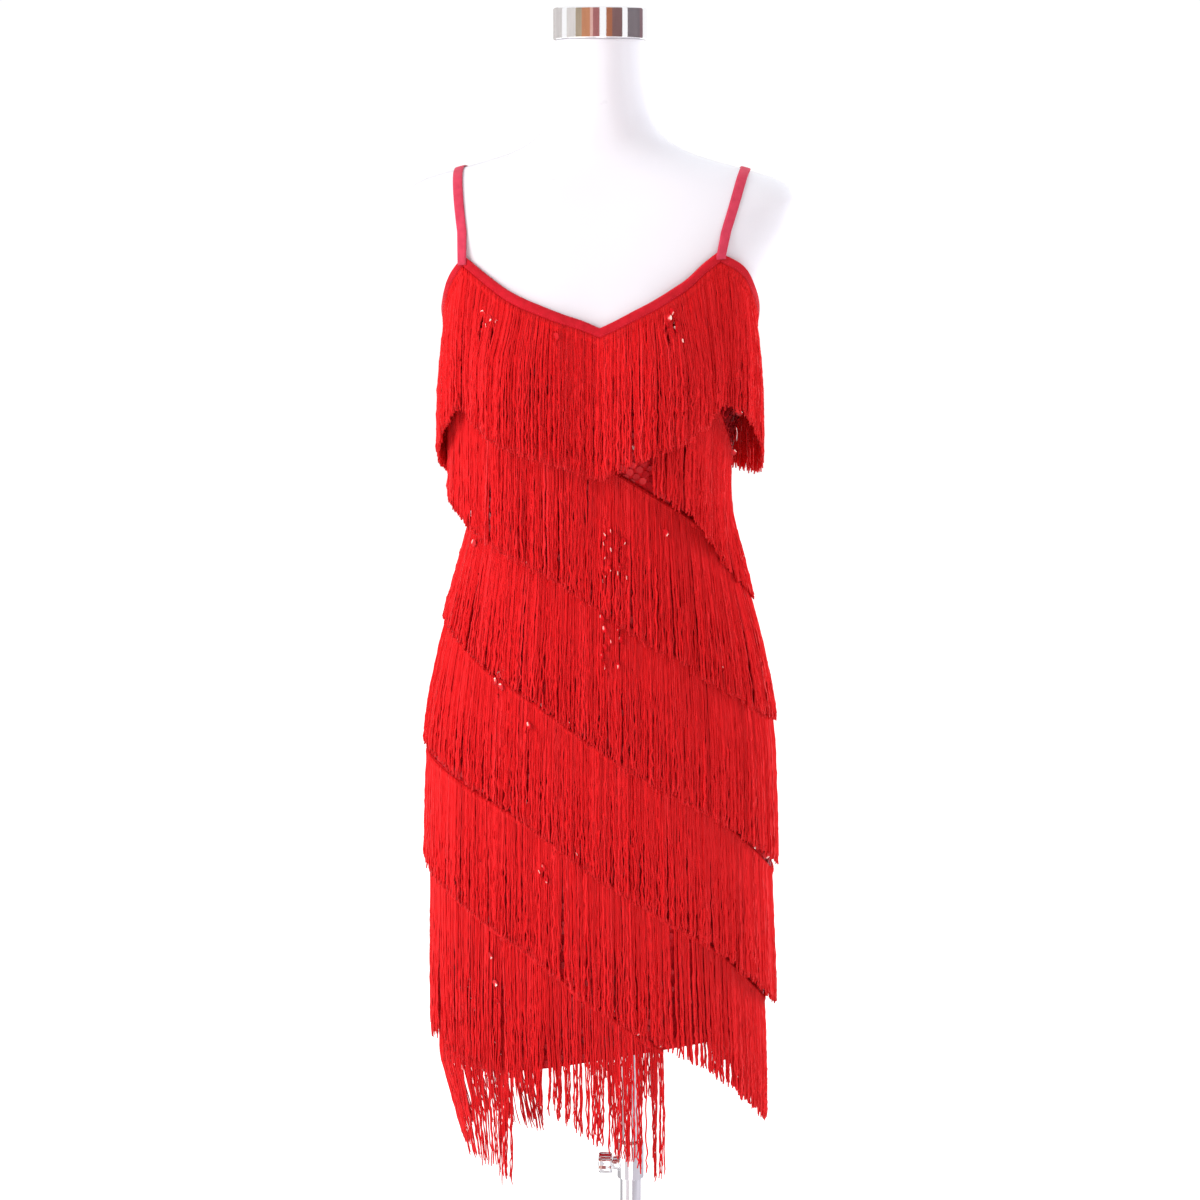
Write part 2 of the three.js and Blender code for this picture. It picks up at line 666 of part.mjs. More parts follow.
// The plate that closes the form's foot, with the shell's own outline.
function formFloorGeometry() {
  const thickness = 5;
  const clearance = SHELL + 1.1;
  const outline = formTurns().map((turn) => {
    const p = onForm(turn, FORM_FOOT_Z, -clearance);
    return new THREE.Vector2(p.x, p.y);
  });
  const shape = new THREE.Shape(outline);
  const plate = new THREE.ExtrudeGeometry(shape, { depth: thickness, bevelEnabled: false });
  return plate.translate(0, 0, FORM_FOOT_Z);
}

function neckCapGeometry() {
  const [radius, round, height] = [47.5, 2, 31.5];
  const foot = NECK_TOP_Z + SEAM_GAP;
  const top = foot + height;
  const edge = [
    [radius, top - round],
    [radius - round * 0.3, top - round * 0.3],
    [radius - round, top],
  ];
  const capSides = 36;
  return turned([[0, foot], [radius, foot], ...edge, [0, top]], capSides);
}

// ------------------------------------------------------------------ the stand

function basePlateGeometry() {
  const baseSides = 36;
  const profile = [
    [0, 0],
    [BASE_RADIUS - 1.5, 0],
    [BASE_RADIUS, 1.5],
    [BASE_RADIUS, 3],
    [BASE_RADIUS - 2, 4.5],
    [BASE_RADIUS - 100, 6.5],
    [BASE_RADIUS - 140, BASE_TOP_Z],
    [0, BASE_TOP_Z],
  ];
  return turned(profile, baseSides);
}

// The collar's wider bore sits over the tube, and its narrower one guides the mast.
function collarGeometry() {
  const seat = TUBE.topZ + SEAM_GAP;
  const [wide, narrow, chamfer] = [TUBE.outer + 0.4, MAST.outer + 0.5, 1];
  const body = turned([
    [wide, COLLAR.bottomZ],
    [COLLAR.outer - chamfer, COLLAR.bottomZ],
    [COLLAR.outer, COLLAR.bottomZ + chamfer],
    [COLLAR.outer, COLLAR.topZ - chamfer],
    [COLLAR.outer - chamfer, COLLAR.topZ],
    [narrow, COLLAR.topZ],
    [narrow, seat],
    [wide, seat],
    [wide, COLLAR.bottomZ],
  ]);
  const boss = acrossLeft(turned([[0, 12], [7, 12], [7, 18], [6.2, 18.8], [0, 18.8]], 20));
  const hole = acrossLeft(turned([[0, 8], [3.5, 8], [3.5, 22], [0, 22]], 16));
  return geometryOf(solidOf(body).add(solidOf(boss)).subtract(solidOf(hole)));
}

// Lays a piece turned about Z along -X, at the clamping screw's height.
function acrossLeft(geometry) {
  return geometry.rotateY(-Math.PI / 2).translate(0, 0, SCREW_Z);
}

// A round-lobed head on a plain stem that presses on the mast.
function screwGeometry() {
  const [tip, stemRadius, headStart, headDepth] = [MAST.outer + SEAM_GAP, 3, 19.4, 15];
  const [headRadius, lobeDepth, lobes, points] = [9.4, 1.2, 6, 36];
  const outline = Array.from({ length: points }, (_, k) => {
    const angle = (2 * Math.PI * k) / points;
    const radius = headRadius + lobeDepth * Math.cos(lobes * angle);
    return new THREE.Vector2(radius * Math.cos(angle), radius * Math.sin(angle));
  });
  const bevel = { bevelEnabled: true, bevelThickness: 1, bevelSize: 1, bevelSegments: 1 };
  const head = new THREE.ExtrudeGeometry(new THREE.Shape(outline), { depth: headDepth - 2, ...bevel });
  head.translate(0, 0, headStart + 1);
  const stem = turned([[0, tip], [stemRadius, tip], [stemRadius, headStart + 4], [0, headStart + 4]], 16);
  const joined = solidOf(mergedIndexed(head)).add(solidOf(stem));
  return acrossLeft(geometryOf(joined));
}

function mastSocketGeometry() {
  const top = FORM_FOOT_Z - SEAM_GAP;
  const bore = MAST.outer + 0.5;
  return turned([
    [bore, top - 42],
    [14, top - 42],
    [14, top - 6],
    [32, top - 4],
    [32, top],
    [0, top],
    [0, MAST.topZ + 1],
    [bore, MAST.topZ + 1],
    [bore, top - 42],
  ]);
}

// ------------------------------------------------------------------ assembly

function buildStand() {
  const stand = new THREE.Group();
  const socket = ringProfile(TUBE.outer + 0.4, 18, BASE_TOP_Z + SEAM_GAP, BASE_TOP_Z + 22, 1.5);
  const tube = ringProfile(TUBE.inner, TUBE.outer, BASE_TOP_Z + SEAM_GAP, TUBE.topZ);
  const mast = ringProfile(MAST.inner, MAST.outer, MAST.bottomZ, MAST.topZ);
  stand.add(
    meshOf("base_plate", basePlateGeometry(), CHROME),
    meshOf("base_socket", turned(socket), CHROME),
    meshOf("lower_tube", turned(tube), CHROME),
    meshOf("clamp_collar", collarGeometry(), CHROME),
    meshOf("clamp_screw", screwGeometry(), CHROME),
    meshOf("mast", turned(mast), CHROME),
    meshOf("mast_socket", mastSocketGeometry(), CHROME),
  );
  return stand;
}

function buildForm() {
  const form = new THREE.Group();
  const cap = meshOf("neck_cap", neckCapGeometry(), CHROME);
  cap.position.y = bodySection(NECK_TOP_Z).midY;
  form.add(
    meshOf("form_torso", formGeometry(), FORM_WHITE),
    meshOf("form_floor", formFloorGeometry(), FORM_WHITE),
    cap,
  );
  return form;
}

function buildDress() {
  const dress = new THREE.Group();
  dress.add(
    meshOf("dress_front", panelGeometry(panelTurns(-90, 90)), CLOTH_RED),
    meshOf("dress_back", panelGeometry(panelTurns(90, 270)), CLOTH_RED),
  );
  const { left, right } = STRAPS;
  const bindings = [
    { name: "binding_neck", from: left.frontTurn, to: right.frontTurn },
    { name: "binding_armhole_right", from: right.frontTurn, to: right.backTurn },
    { name: "binding_back", from: right.backTurn, to: left.backTurn + 360 },
    { name: "binding_armhole_left", from: left.backTurn, to: left.frontTurn },
  ];
  const strapRoom = STRAP_WIDTH / 2 + STRAP_CLEAR;
  for (const { name, from, to } of bindings) {
    const [first, last] = [from + turnAcross(from, strapRoom), to - turnAcross(to, strapRoom)];
    dress.add(meshOf(name, bindingGeometry(first, last), TRIM_RED));
  }
  dress.add(meshOf("strap_left", strapGeometry(left), TRIM_RED));
  dress.add(meshOf("strap_right", strapGeometry(right), TRIM_RED));

  const underBinding = (turn) => topEdge(turn) - BINDING_HEIGHT - NECK_FRINGE_DROP;
  const neck = fringeGeometry(NECK_FRINGE, underBinding, NECK_FRINGE_START, NECK_FRINGE_START + 360);
  dress.add(meshOf(NECK_FRINGE.name, neck, FRINGE_RED));
  for (const row of FRINGES) {
    const geometry = fringeGeometry(row, heightRound(row), row.from, row.to);
    dress.add(meshOf(row.name, geometry, FRINGE_RED));
  }
  return dress;
}

const part = new THREE.Group();
const dressedForm = new THREE.Group();
dressedForm.position.x = FORM_OFFSET_X;
dressedForm.add(buildForm(), buildDress());
part.add(buildStand(), dressedForm);

export default part;
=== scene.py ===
# %% [markdown]
# # A fringed flapper dress on a dress form
#
# The dress is a short sleeveless sheath of sequinned knit. Eight rows of long fringe slant round
# it, each one a woven header tape with hundreds of looped cords hanging from its lower edge. It
# is worn by a white limbless dress form on a chrome stand.
#
# The lesson goes from the inside out: the body's surface as a formula, the form, the stand, the
# cloth that lies on the form, the sequins, bindings and straps on the cloth, and last the cords,
# which are what one sees. Sizes are in millimetres until a mesh is made.

# %% Load the measured frame
import math

import bpy
import numpy as np
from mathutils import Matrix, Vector


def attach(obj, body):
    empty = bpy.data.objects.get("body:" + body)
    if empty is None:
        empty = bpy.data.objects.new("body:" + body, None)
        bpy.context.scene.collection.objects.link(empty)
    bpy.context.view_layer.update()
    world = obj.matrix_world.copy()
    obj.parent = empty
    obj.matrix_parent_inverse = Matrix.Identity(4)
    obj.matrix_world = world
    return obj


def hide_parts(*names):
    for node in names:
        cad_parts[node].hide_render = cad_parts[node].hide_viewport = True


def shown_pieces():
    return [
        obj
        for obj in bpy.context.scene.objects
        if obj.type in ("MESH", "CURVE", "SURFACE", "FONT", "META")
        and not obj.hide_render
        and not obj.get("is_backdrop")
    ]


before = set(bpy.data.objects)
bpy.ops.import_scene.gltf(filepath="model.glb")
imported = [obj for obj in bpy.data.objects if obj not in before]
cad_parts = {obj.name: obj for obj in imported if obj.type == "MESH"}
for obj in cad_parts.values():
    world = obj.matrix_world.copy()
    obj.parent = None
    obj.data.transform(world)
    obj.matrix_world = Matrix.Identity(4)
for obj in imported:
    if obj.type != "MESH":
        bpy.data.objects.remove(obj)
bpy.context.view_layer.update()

# %% [markdown]
# ## Camera
#
# The dress is seen from the front, a little from its left, from a standing person's eye height.
# A long lens at three metres keeps the rows of fringe nearly straight. The camera is placed by
# its distance, height and turn, so each number can be read off a tape measure in a studio.

# %% Camera
MM = 0.001
CAMERA_DISTANCE = 3.0
CAMERA_HEIGHT = 1.4
CAMERA_TURN = math.radians(3.5)
CAMERA_PITCH = math.radians(8.37)
AIM_X = -0.0326
LENS = 87.72

camera = bpy.data.objects.new("camera", bpy.data.cameras.new("camera"))
camera.data.lens = LENS
camera.data.sensor_width = 36.0
camera.location = (
    AIM_X + CAMERA_DISTANCE * math.sin(CAMERA_TURN),
    -CAMERA_DISTANCE * math.cos(CAMERA_TURN),
    CAMERA_HEIGHT,
)
camera.rotation_euler = (math.pi / 2 - CAMERA_PITCH, 0, CAMERA_TURN)
bpy.context.scene.collection.objects.link(camera)
bpy.context.scene.camera = camera
print("camera stands at", [round(v, 3) for v in camera.location])

# %% [markdown]
# ## Daylight and floor
#
# A dress shop photographs on white: light comes from all round, with one large soft window on
# the left and a weaker lamp behind on the right, which keeps the white form's shoulder bright. A
# white world gives the first, area lights the others. Chrome shows only what stands round it, so
# upright boards and cards on the floor lie where only its mirror sees them, as a photographer's
# cards do. They are stage pieces: they don't belong to the object.

# %% World and lamps
scene = bpy.context.scene
scene.view_settings.view_transform = "Standard"
world = bpy.data.worlds.new("white_room")
world.use_nodes = True
world.node_tree.nodes["Background"].inputs["Color"].default_value = (1.0, 0.997, 1.0, 1.0)
world.node_tree.nodes["Background"].inputs["Strength"].default_value = 1.03
scene.world = world


def soft_lamp(name, place, aim, size, watts, color=(1.0, 1.0, 1.0)):
    lamp = bpy.data.objects.new(name, bpy.data.lights.new(name, "AREA"))
    lamp.data.shape = "SQUARE"
    lamp.data.size = size
    lamp.data.energy = watts
    lamp.data.color = color
    lamp.visible_glossy = False
    lamp.location = place
    lamp.rotation_euler = (Vector(aim) - Vector(place)).to_track_quat("-Z", "Y").to_euler()
    scene.collection.objects.link(lamp)
    return lamp


soft_lamp("window", (-3.0, -1.9, 2.4), (0, 0, 1.0), 2.0, 96, (1.0, 0.985, 0.97))
soft_lamp("rim", (2.2, 0.8, 1.3), (0.15, 0, 1.3), 1.3, 38)
print("one window, one rim lamp and a white room")

# %% Pieces from points and faces
def make_piece(name, points, faces, finish, smooth=True):
    """A mesh object from points in millimetres, with its faces as they are given."""
    points = np.asarray(points, float).reshape(-1, 3) * MM
    mesh = bpy.data.meshes.new(name)
    mesh.from_pydata(points, [], faces)
    mesh.polygons.foreach_set("use_smooth", np.full(len(mesh.polygons), smooth))
    mesh.materials.append(finish)
    mesh.update()
    piece = bpy.data.objects.new(name, mesh)
    scene.collection.objects.link(piece)
    return piece


def grid_faces(rows, columns, start=0, closed=False):
    """Quads between neighbouring rows and columns of points, row by row."""
    last = columns if closed else columns - 1
    r, c = np.meshgrid(np.arange(rows - 1), np.arange(last), indexing="ij")
    n = (c + 1) % columns
    quads = np.stack([r * columns + c, r * columns + n, (r + 1) * columns + n, (r + 1) * columns + c], -1)
    return (quads.reshape(-1, 4) + start).tolist()


def triangle_count(piece):
    sides = np.zeros(len(piece.data.polygons), int)
    piece.data.polygons.foreach_get("loop_total", sides)
    return int((sides - 2).sum())


def signed_volume(points, faces):
    """Above zero where the faces of a closed mesh look out."""
    total = 0.0
    for size in {len(face) for face in faces}:
        corners = points[np.array([face for face in faces if len(face) == size])]
        for k in range(1, size - 1):
            crossed = np.cross(corners[:, k], corners[:, k + 1])
            total += np.einsum("ij,ij->", corners[:, 0], crossed)
    return total


def looking_out(points, faces):
    """The same faces, turned round if they look in."""
    if signed_volume(np.asarray(points, float).reshape(-1, 3), faces) > 0:
        return faces
    return [face[::-1] for face in faces]


def put_on(piece, body, slot, *nodes):
    """The piece moves with a body and stands for the named solids, which are hidden. The slot is not used."""
    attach(piece, body)
    if nodes:
        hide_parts(*nodes)
    print(f"{piece.name}: {triangle_count(piece)} triangles")
    return piece


def store(piece, name, values):
    """A number for each point, which the finish reads by its name."""
    layer = piece.data.attributes.new(name, "FLOAT", "POINT")
    layer.data.foreach_set("value", np.asarray(values, np.float32).ravel())


# %% [markdown]
# ## Finishes
#
# Every finish is made from nodes, so it has no picture to stretch or repeat. A finish starts from
# one shader with its plain numbers set on the shader itself. Only what varies over the surface,
# such as a cord's own shade of red or the loops that it is chained from, comes from nodes.

# %% Helpers for finishes
class Finish:
    """A material with one shader, and short ways to add the nodes that vary it."""

    def __init__(self, name, color, roughness, **numbers):
        self.material = bpy.data.materials.new(name)
        self.material.use_nodes = True
        self.nodes = self.material.node_tree.nodes
        self.links = self.material.node_tree.links
        self.shader = self.nodes["Principled BSDF"]
        self.shader.inputs["Base Color"].default_value = (*color, 1.0)
        self.shader.inputs["Roughness"].default_value = roughness
        for socket, number in numbers.items():
            self.shader.inputs[socket.replace("_", " ")].default_value = number

    def add(self, kind, **settings):
        node = self.nodes.new("ShaderNode" + kind)
        for name, value in settings.items():
            setattr(node, name, value)
        return node

    def feed(self, node, socket, source):
        """Puts a number, a color or another node's output into a socket."""
        if isinstance(source, bpy.types.NodeSocket):
            self.links.new(source, node.inputs[socket])
        else:
            node.inputs[socket].default_value = source

    def point(self, name):
        """A number stored on the mesh's points."""
        return self.add("Attribute", attribute_name=name).outputs["Fac"]

    def place(self):
        """Where a spot lies on the piece, in metres."""
        return self.add("TexCoord").outputs["Object"]

    def math(self, operation, first, second=0.0):
        node = self.add("Math", operation=operation)
        self.feed(node, 0, first)
        self.feed(node, 1, second)
        return node.outputs[0]

    def noise(self, scale, detail=2.0, stretch=None):
        """Soft random patches: scale is how many to a metre."""
        node = self.add("TexNoise")
        self.feed(node, "Scale", scale)
        self.feed(node, "Detail", detail)
        where = self.place()
        if stretch:
            mapping = self.add("Mapping")
            self.feed(mapping, "Vector", where)
            self.feed(mapping, "Scale", stretch)
            where = mapping.outputs[0]
        self.feed(node, "Vector", where)
        return node.outputs["Fac"]

    def ramp(self, factor, *stops):
        """A color that changes with a number, through (place, color) stops."""
        node = self.add("ValToRGB")
        elements = node.color_ramp.elements
        while len(elements) < len(stops):
            elements.new(0.5)
        for element, (place, color) in zip(elements, stops):
            element.position = place
            element.color = (*color, 1.0)
        self.feed(node, "Fac", factor)
        return node.outputs["Color"]

    def span(self, value, low, high):
        """Moves a number from 0..1 to low..high."""
        return self.math("ADD", self.math("MULTIPLY", value, high - low), low)

    def bump(self, height, depth, strength=1.0):
        """Raises the surface by a height of 0..1, times a depth in metres."""
        node = self.add("Bump")
        self.feed(node, "Height", height)
        self.feed(node, "Distance", depth)
        self.feed(node, "Strength", strength)
        self.feed(self.shader, "Normal", node.outputs[0])

    def loops(self, along, pitch):
        """Rounded waves of 0..1 along a stored length in millimetres."""
        turn = self.math("MULTIPLY", self.point(along), math.pi / pitch)
        return self.math("ABSOLUTE", self.math("SINE", turn))


# %% [markdown]
# ### Rayon cord
#
# The fringe is chainette: a soft rayon cord, knitted as a chain of tiny loops. Rayon is bright
# and saturated, and each cord takes the dye and the light a little differently. So each cord
# stores its own shade, a ramp turns it into a red, and the chain's loops are a bump along the
# cord's stored length, 2.4 mm a loop.

# %% Rayon cord
cord = Finish("rayon_cord", (0.8, 0.01, 0.015), 0.5, Specular_IOR_Level=0.16)
cord_reds = cord.ramp(
    cord.math("ADD", cord.point("shade"), cord.math("MULTIPLY", cord.noise(60.0), 0.25)),
    (0.0, (0.56, 0.006, 0.008)),
    (0.45, (0.70, 0.009, 0.012)),
    (0.8, (0.76, 0.013, 0.017)),
    (1.0, (0.80, 0.024, 0.030)),
)
cord.feed(cord.shader, "Base Color", cord_reds)
cord.bump(cord.loops("along", 2.4), 0.0004, 0.6)
print("cord finish ready")

# %% Woven header tape
header_tape = Finish("woven_header", (0.72, 0.008, 0.014), 0.6, Specular_IOR_Level=0.14)
header_tape.feed(
    header_tape.shader,
    "Base Color",
    header_tape.ramp(header_tape.noise(220.0), (0.3, (0.5, 0.004, 0.008)), (0.7, (0.82, 0.009, 0.016))),
)
header_tape.bump(header_tape.loops("along", 1.3), 0.0003, 0.7)

# %% [markdown]
# ### Knit, sequins and bindings
#
# The ground is a thin red knit that one sees only between the cords. The sequins are red plastic
# film: glossy, dark where they see the cords and bright where they see the room. A few carry a
# painted glint, and those under the right arm carry painted shade. The bindings and straps are
# elastic with lengthwise ribs, and a rosier red than the cords.

# %% Knit ground
knit = Finish("red_knit", (0.65, 0.008, 0.014), 0.8, Specular_IOR_Level=0.15)
knit.shader.inputs["Sheen Weight"].default_value = 0.15
knit.shader.inputs["Sheen Tint"].default_value = (1.0, 0.25, 0.25, 1.0)
knit_reds = knit.ramp(knit.noise(90.0, 4.0), (0.25, (0.55, 0.006, 0.010)), (0.75, (0.72, 0.008, 0.016)))
knit.feed(knit.shader, "Base Color", knit_reds)
knit.bump(knit.noise(900.0, 3.0, (1.0, 1.0, 0.45)), 0.0005, 0.8)

# %% Sequin film
film = Finish("sequin_film", (0.5, 0.008, 0.014), 0.22, Metallic=0.25, Specular_IOR_Level=0.25)
# Painted light: the top stop is a painted glint, pale pink, on a few sequins; the lowest stop is reached where
# painted shade darkens the sequins under the right arm.
film_reds = film.ramp(
    film.point("shade"),
    (0.0, (0.10, 0.003, 0.005)),
    (0.2, (0.38, 0.005, 0.009)),
    (0.85, (0.70, 0.012, 0.020)),
    (1.0, (1.0, 0.82, 0.76)),
)
film.feed(film.shader, "Base Color", film_reds)
film.feed(film.shader, "Roughness", film.span(film.noise(300.0), 0.14, 0.3))

# %% Ribbed elastic
def elastic_finish(name, dark, light):
    """Woven elastic with lengthwise ribs, 1.1 mm a rib."""
    finish = Finish(name, light, 0.6, Specular_IOR_Level=0.2)
    reds = finish.ramp(finish.noise(140.0, 3.0), (0.3, dark), (0.7, light))
    finish.feed(finish.shader, "Base Color", reds)
    finish.bump(finish.loops("rib", 1.1), 0.0003, 0.7)
    return finish


binding_elastic = elastic_finish("binding_elastic", (0.50, 0.005, 0.014), (0.62, 0.008, 0.022))
strap_elastic = elastic_finish("strap_elastic", (0.58, 0.040, 0.085), (0.68, 0.058, 0.115))

# %% Sewing thread
thread = Finish("red_thread", (0.8, 0.03, 0.06), 0.45, Specular_IOR_Level=0.3)
thread.feed(
    thread.shader,
    "Base Color",
    thread.ramp(thread.noise(700.0), (0.3, (0.6, 0.012, 0.03)), (0.7, (0.85, 0.035, 0.07))),
)

# %% [markdown]
# ### Moulded shell and plating
#
# The form is a white moulded shell with a soft gloss and the faint orange peel of its mould. The
# stand is chrome, which is all reflection: its only own detail is where hands and cloths have
# wiped it, so noise moves its roughness a little. The base plate is plated steel, brushed round
# its middle.

# %% White shell
shell = Finish("white_shell", (0.81, 0.825, 0.89), 0.3, Specular_IOR_Level=0.4, Coat_Weight=0.25)
shell.shader.inputs["Coat Roughness"].default_value = 0.12
shell.feed(
    shell.shader,
    "Base Color",
    shell.ramp(shell.noise(9.0, 3.0), (0.3, (0.80, 0.815, 0.885)), (0.7, (0.82, 0.835, 0.90))),
)
shell.feed(shell.shader, "Roughness", shell.span(shell.noise(40.0, 3.0), 0.24, 0.36))
shell.bump(shell.noise(260.0), 0.00012, 0.3)

# %% Chrome
chrome = Finish("chrome_plating", (0.93, 0.93, 0.945), 0.05, Metallic=1.0)
chrome.feed(chrome.shader, "Roughness", chrome.span(chrome.noise(70.0, 4.0), 0.03, 0.09))
chrome.bump(chrome.noise(500.0, 2.0, (1.0, 1.0, 0.1)), 0.00002, 0.25)

# %% Brushed base
brushed = Finish("brushed_plate", (0.8, 0.8, 0.82), 0.25, Metallic=1.0)
brushed_place = brushed.add("SeparateXYZ")
brushed.feed(brushed_place, "Vector", brushed.place())
brushed_way = brushed.math(
    "SQRT",
    brushed.math(
        "ADD",
        brushed.math("POWER", brushed_place.outputs["X"], 2.0),
        brushed.math("POWER", brushed_place.outputs["Y"], 2.0),
    ),
)
brushed_rings = brushed.add("TexNoise", noise_dimensions="1D")
brushed.feed(brushed_rings, "W", brushed_way)
brushed.feed(brushed_rings, "Scale", 1400.0)
brushed.feed(brushed.shader, "Roughness", brushed.span(brushed_rings.outputs["Fac"], 0.18, 0.4))
brushed.bump(brushed_rings.outputs["Fac"], 0.00003, 0.3)

# %% Floor and reflection boards
pale = Finish("pale_floor", (0.97, 0.97, 0.97), 0.8, Specular_IOR_Level=0.05)
pale.feed(
    pale.shader,
    "Base Color",
    pale.ramp(pale.noise(1.5), (0.3, (0.966, 0.966, 0.97)), (0.7, (0.976, 0.976, 0.978))),
)
pale.shader.inputs["Emission Color"].default_value = (1.0, 1.0, 1.0, 1.0)
pale.shader.inputs["Emission Strength"].default_value = 0.25
floor_half = 9000
floor_corners = [(x * floor_half, y * floor_half, 0) for x, y in ((-1, -1), (1, -1), (1, 1), (-1, 1))]
floor = make_piece("floor", floor_corners, [(0, 1, 2, 3)], pale.material, smooth=False)
floor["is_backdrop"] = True

# Boards as (first angle, last angle, color): the angle goes round the stand from the front,
# positive to the right. Cards lie on the floor in the same way.
BOARDS = {
    "pearl": (-178, -104, (0.56, 0.54, 0.53)),
    "cream": (-87, -61, (0.64, 0.62, 0.60)),
    "olive": (-60, -43, (0.38, 0.31, 0.22)),
    "tan": (-43, -22, (0.49, 0.21, 0.105)),
    "blush": (-22, -15, (0.60, 0.36, 0.32)),
    "mauve": (-15, 1, (0.32, 0.11, 0.11)),
    "amber": (17, 32, (0.35, 0.12, 0.056)),
    "brown": (32, 58, (0.18, 0.095, 0.095)),
    "slate": (73, 115, (0.17, 0.145, 0.16)),
    "plum": (115, 130, (0.21, 0.13, 0.15)),
}
CARDS = {
    "grey": (-178, -92, (0.36, 0.36, 0.38)),
    "milk": (-49, -13, (0.58, 0.56, 0.60)),
    "lilac": (21, 140, (0.50, 0.49, 0.55)),
    "dusk": (140, 178, (0.36, 0.35, 0.42)),
}


def mirror_card(name, first, last, near_ring, far_ring, color):
    """A bent board between two rings of (radius, height), out of the camera's sight."""
    finish = Finish("board_" + name, color, 0.8)
    finish.feed(
        finish.shader,
        "Base Color",
        finish.ramp(finish.noise(1.1), (0.3, [v * 0.85 for v in color]), (0.7, color)),
    )
    angles = np.radians(np.linspace(first, last, 9))
    rings = [
        np.column_stack([np.sin(angles) * radius, -np.cos(angles) * radius, np.full(9, height)])
        for radius, height in (near_ring, far_ring)
    ]
    card = make_piece("board_" + name, np.vstack(rings), grid_faces(2, 9), finish.material)
    card.visible_camera = False
    card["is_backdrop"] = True
    return card


def only_for_mirrors(card):
    card.visible_diffuse = False
    card.visible_shadow = False


for board_name, (first, last, board_color) in BOARDS.items():
    board = mirror_card(board_name, first, last, (4200, 300), (4200, 3400), board_color)
    if last < -60 or last > 115:
        only_for_mirrors(board)
for board_name, (first, last, board_color) in CARDS.items():
    only_for_mirrors(mirror_card(board_name, first, last, (186, 4), (2600, 4), board_color))
print(len(BOARDS) + len(CARDS), "boards and cards stand round the stage")

# %% [markdown]
# ## The body's surface
#
# The form, the cloth and all that lies on the cloth share one surface. A pattern cutter measures
# a body at a few heights: how wide, how deep in front and behind, and how square. A smooth curve
# through each column gives the section at any height, and a rounded ring joins the four sides.
# A point on the body is then named by its height and its turn, the angle round from the middle of
# the front. Arrays of turns and heights go through the same few lines, which keeps thousands of
# cords quick to place.

# %% Smooth curves through a table
def smooth_track(places, values):
    """A curve through the values: at each row its slope is the mean of the slopes beside it."""
    places = np.asarray(places, float)
    values = np.asarray(values, float)
    steep = np.diff(values) / np.diff(places)
    slopes = np.concatenate([steep[:1], (steep[1:] + steep[:-1]) / 2, steep[-1:]])

    def at(place):
        place = np.clip(place, places[0], places[-1])
        row = np.clip(np.searchsorted(places, place) - 1, 0, len(places) - 2)
        step = places[row + 1] - places[row]
        t = (place - places[row]) / step
        start = values[row] * (2 * t**3 - 3 * t**2 + 1) + slopes[row] * step * (t**3 - 2 * t**2 + t)
        end = values[row + 1] * (3 * t**2 - 2 * t**3) + slopes[row + 1] * step * (t**3 - t**2)
        return start + end

    return at


# %% Sections of the body
FORM_X = -32.0
NECK_TOP_Z = 1529.0
SECTION_COLUMNS = ("z", "half", "front", "back", "square", "mid_x", "mid_y")
SECTIONS = np.array(
    [
        (470, 162, 110, 114, 2.3, 4, 0),
        (563, 168, 113, 120, 2.3, 2, 0),
        (657, 174, 116, 127, 2.3, 1, 0),
        (750, 177, 117, 131, 2.3, 0, 0),
        (832, 175, 116, 131, 2.3, 0, 0),
        (913, 162, 111, 120, 2.25, 0, 0),
        (993, 143, 103, 103, 2.2, 0, 0),
        (1073, 128, 97, 92, 2.2, 0, 0),
        (1133, 136, 100, 95, 2.2, 0, 0),
        (1197, 150, 105, 100, 2.25, 0, 0),
        (1246, 156, 102, 102, 2.3, 0, 0),
        (1281, 166, 96, 101, 2.4, 0, 0),
        (1320, 189, 86, 96, 2.6, 0, 0),
        (1354, 199, 75, 88, 2.8, 0, 0),
        (1376, 201, 66, 80, 2.7, 0, 1),
        (1391, 182, 59, 73, 2.4, 0, 2),
        (1403, 141, 54, 66, 2.1, 0, 4),
        (1415, 100, 51, 60, 2.0, 0, 6),
        (1427, 75, 50, 56, 2.0, 0, 7),
        (1446, 59, 49, 53, 2.0, 0, 6),
        (1479, 50, 48, 50, 2.0, 0, 2),
        (NECK_TOP_Z, 47.5, 47.5, 47.5, 2.0, 0, -3),
    ]
)
SECTION_TRACKS = {
    name: smooth_track(SECTIONS[:, 0], SECTIONS[:, k]) for k, name in enumerate(SECTION_COLUMNS) if k
}
CUP = {"turn": 34, "z": 1195, "rise": 17, "spread_turn": 21, "spread_z": 52}


def wrap_turn(turn):
    return (np.asarray(turn, float) + 180) % 360 - 180


def cup_rise(turn, z):
    away = (np.abs(wrap_turn(turn)) - CUP["turn"]) / CUP["spread_turn"]
    above = (z - CUP["z"]) / CUP["spread_z"]
    return CUP["rise"] * np.exp(-(away**2) - above**2)


def body_radius(turn, z):
    s = {name: track(z) for name, track in SECTION_TRACKS.items()}
    sideways = np.sin(np.radians(turn))
    backwards = -np.cos(np.radians(turn))
    depth = np.where(backwards < 0, s["front"], s["back"])
    total = np.abs(sideways / s["half"]) ** s["square"] + np.abs(backwards / depth) ** s["square"]
    return total ** (-1 / s["square"]) + cup_rise(turn, z)


def point_at(turn, z, radius):
    x = FORM_X + SECTION_TRACKS["mid_x"](z) + np.sin(np.radians(turn)) * radius
    y = SECTION_TRACKS["mid_y"](z) - np.cos(np.radians(turn)) * radius
    return np.stack(np.broadcast_arrays(x, y, np.asarray(z, float)), axis=-1)


hips = point_at(np.linspace(0, 360, 361), 832.0, body_radius(np.linspace(0, 360, 361), 832.0))
print("hips measure", round(np.linalg.norm(np.diff(hips, axis=0), axis=1).sum()), "mm round")

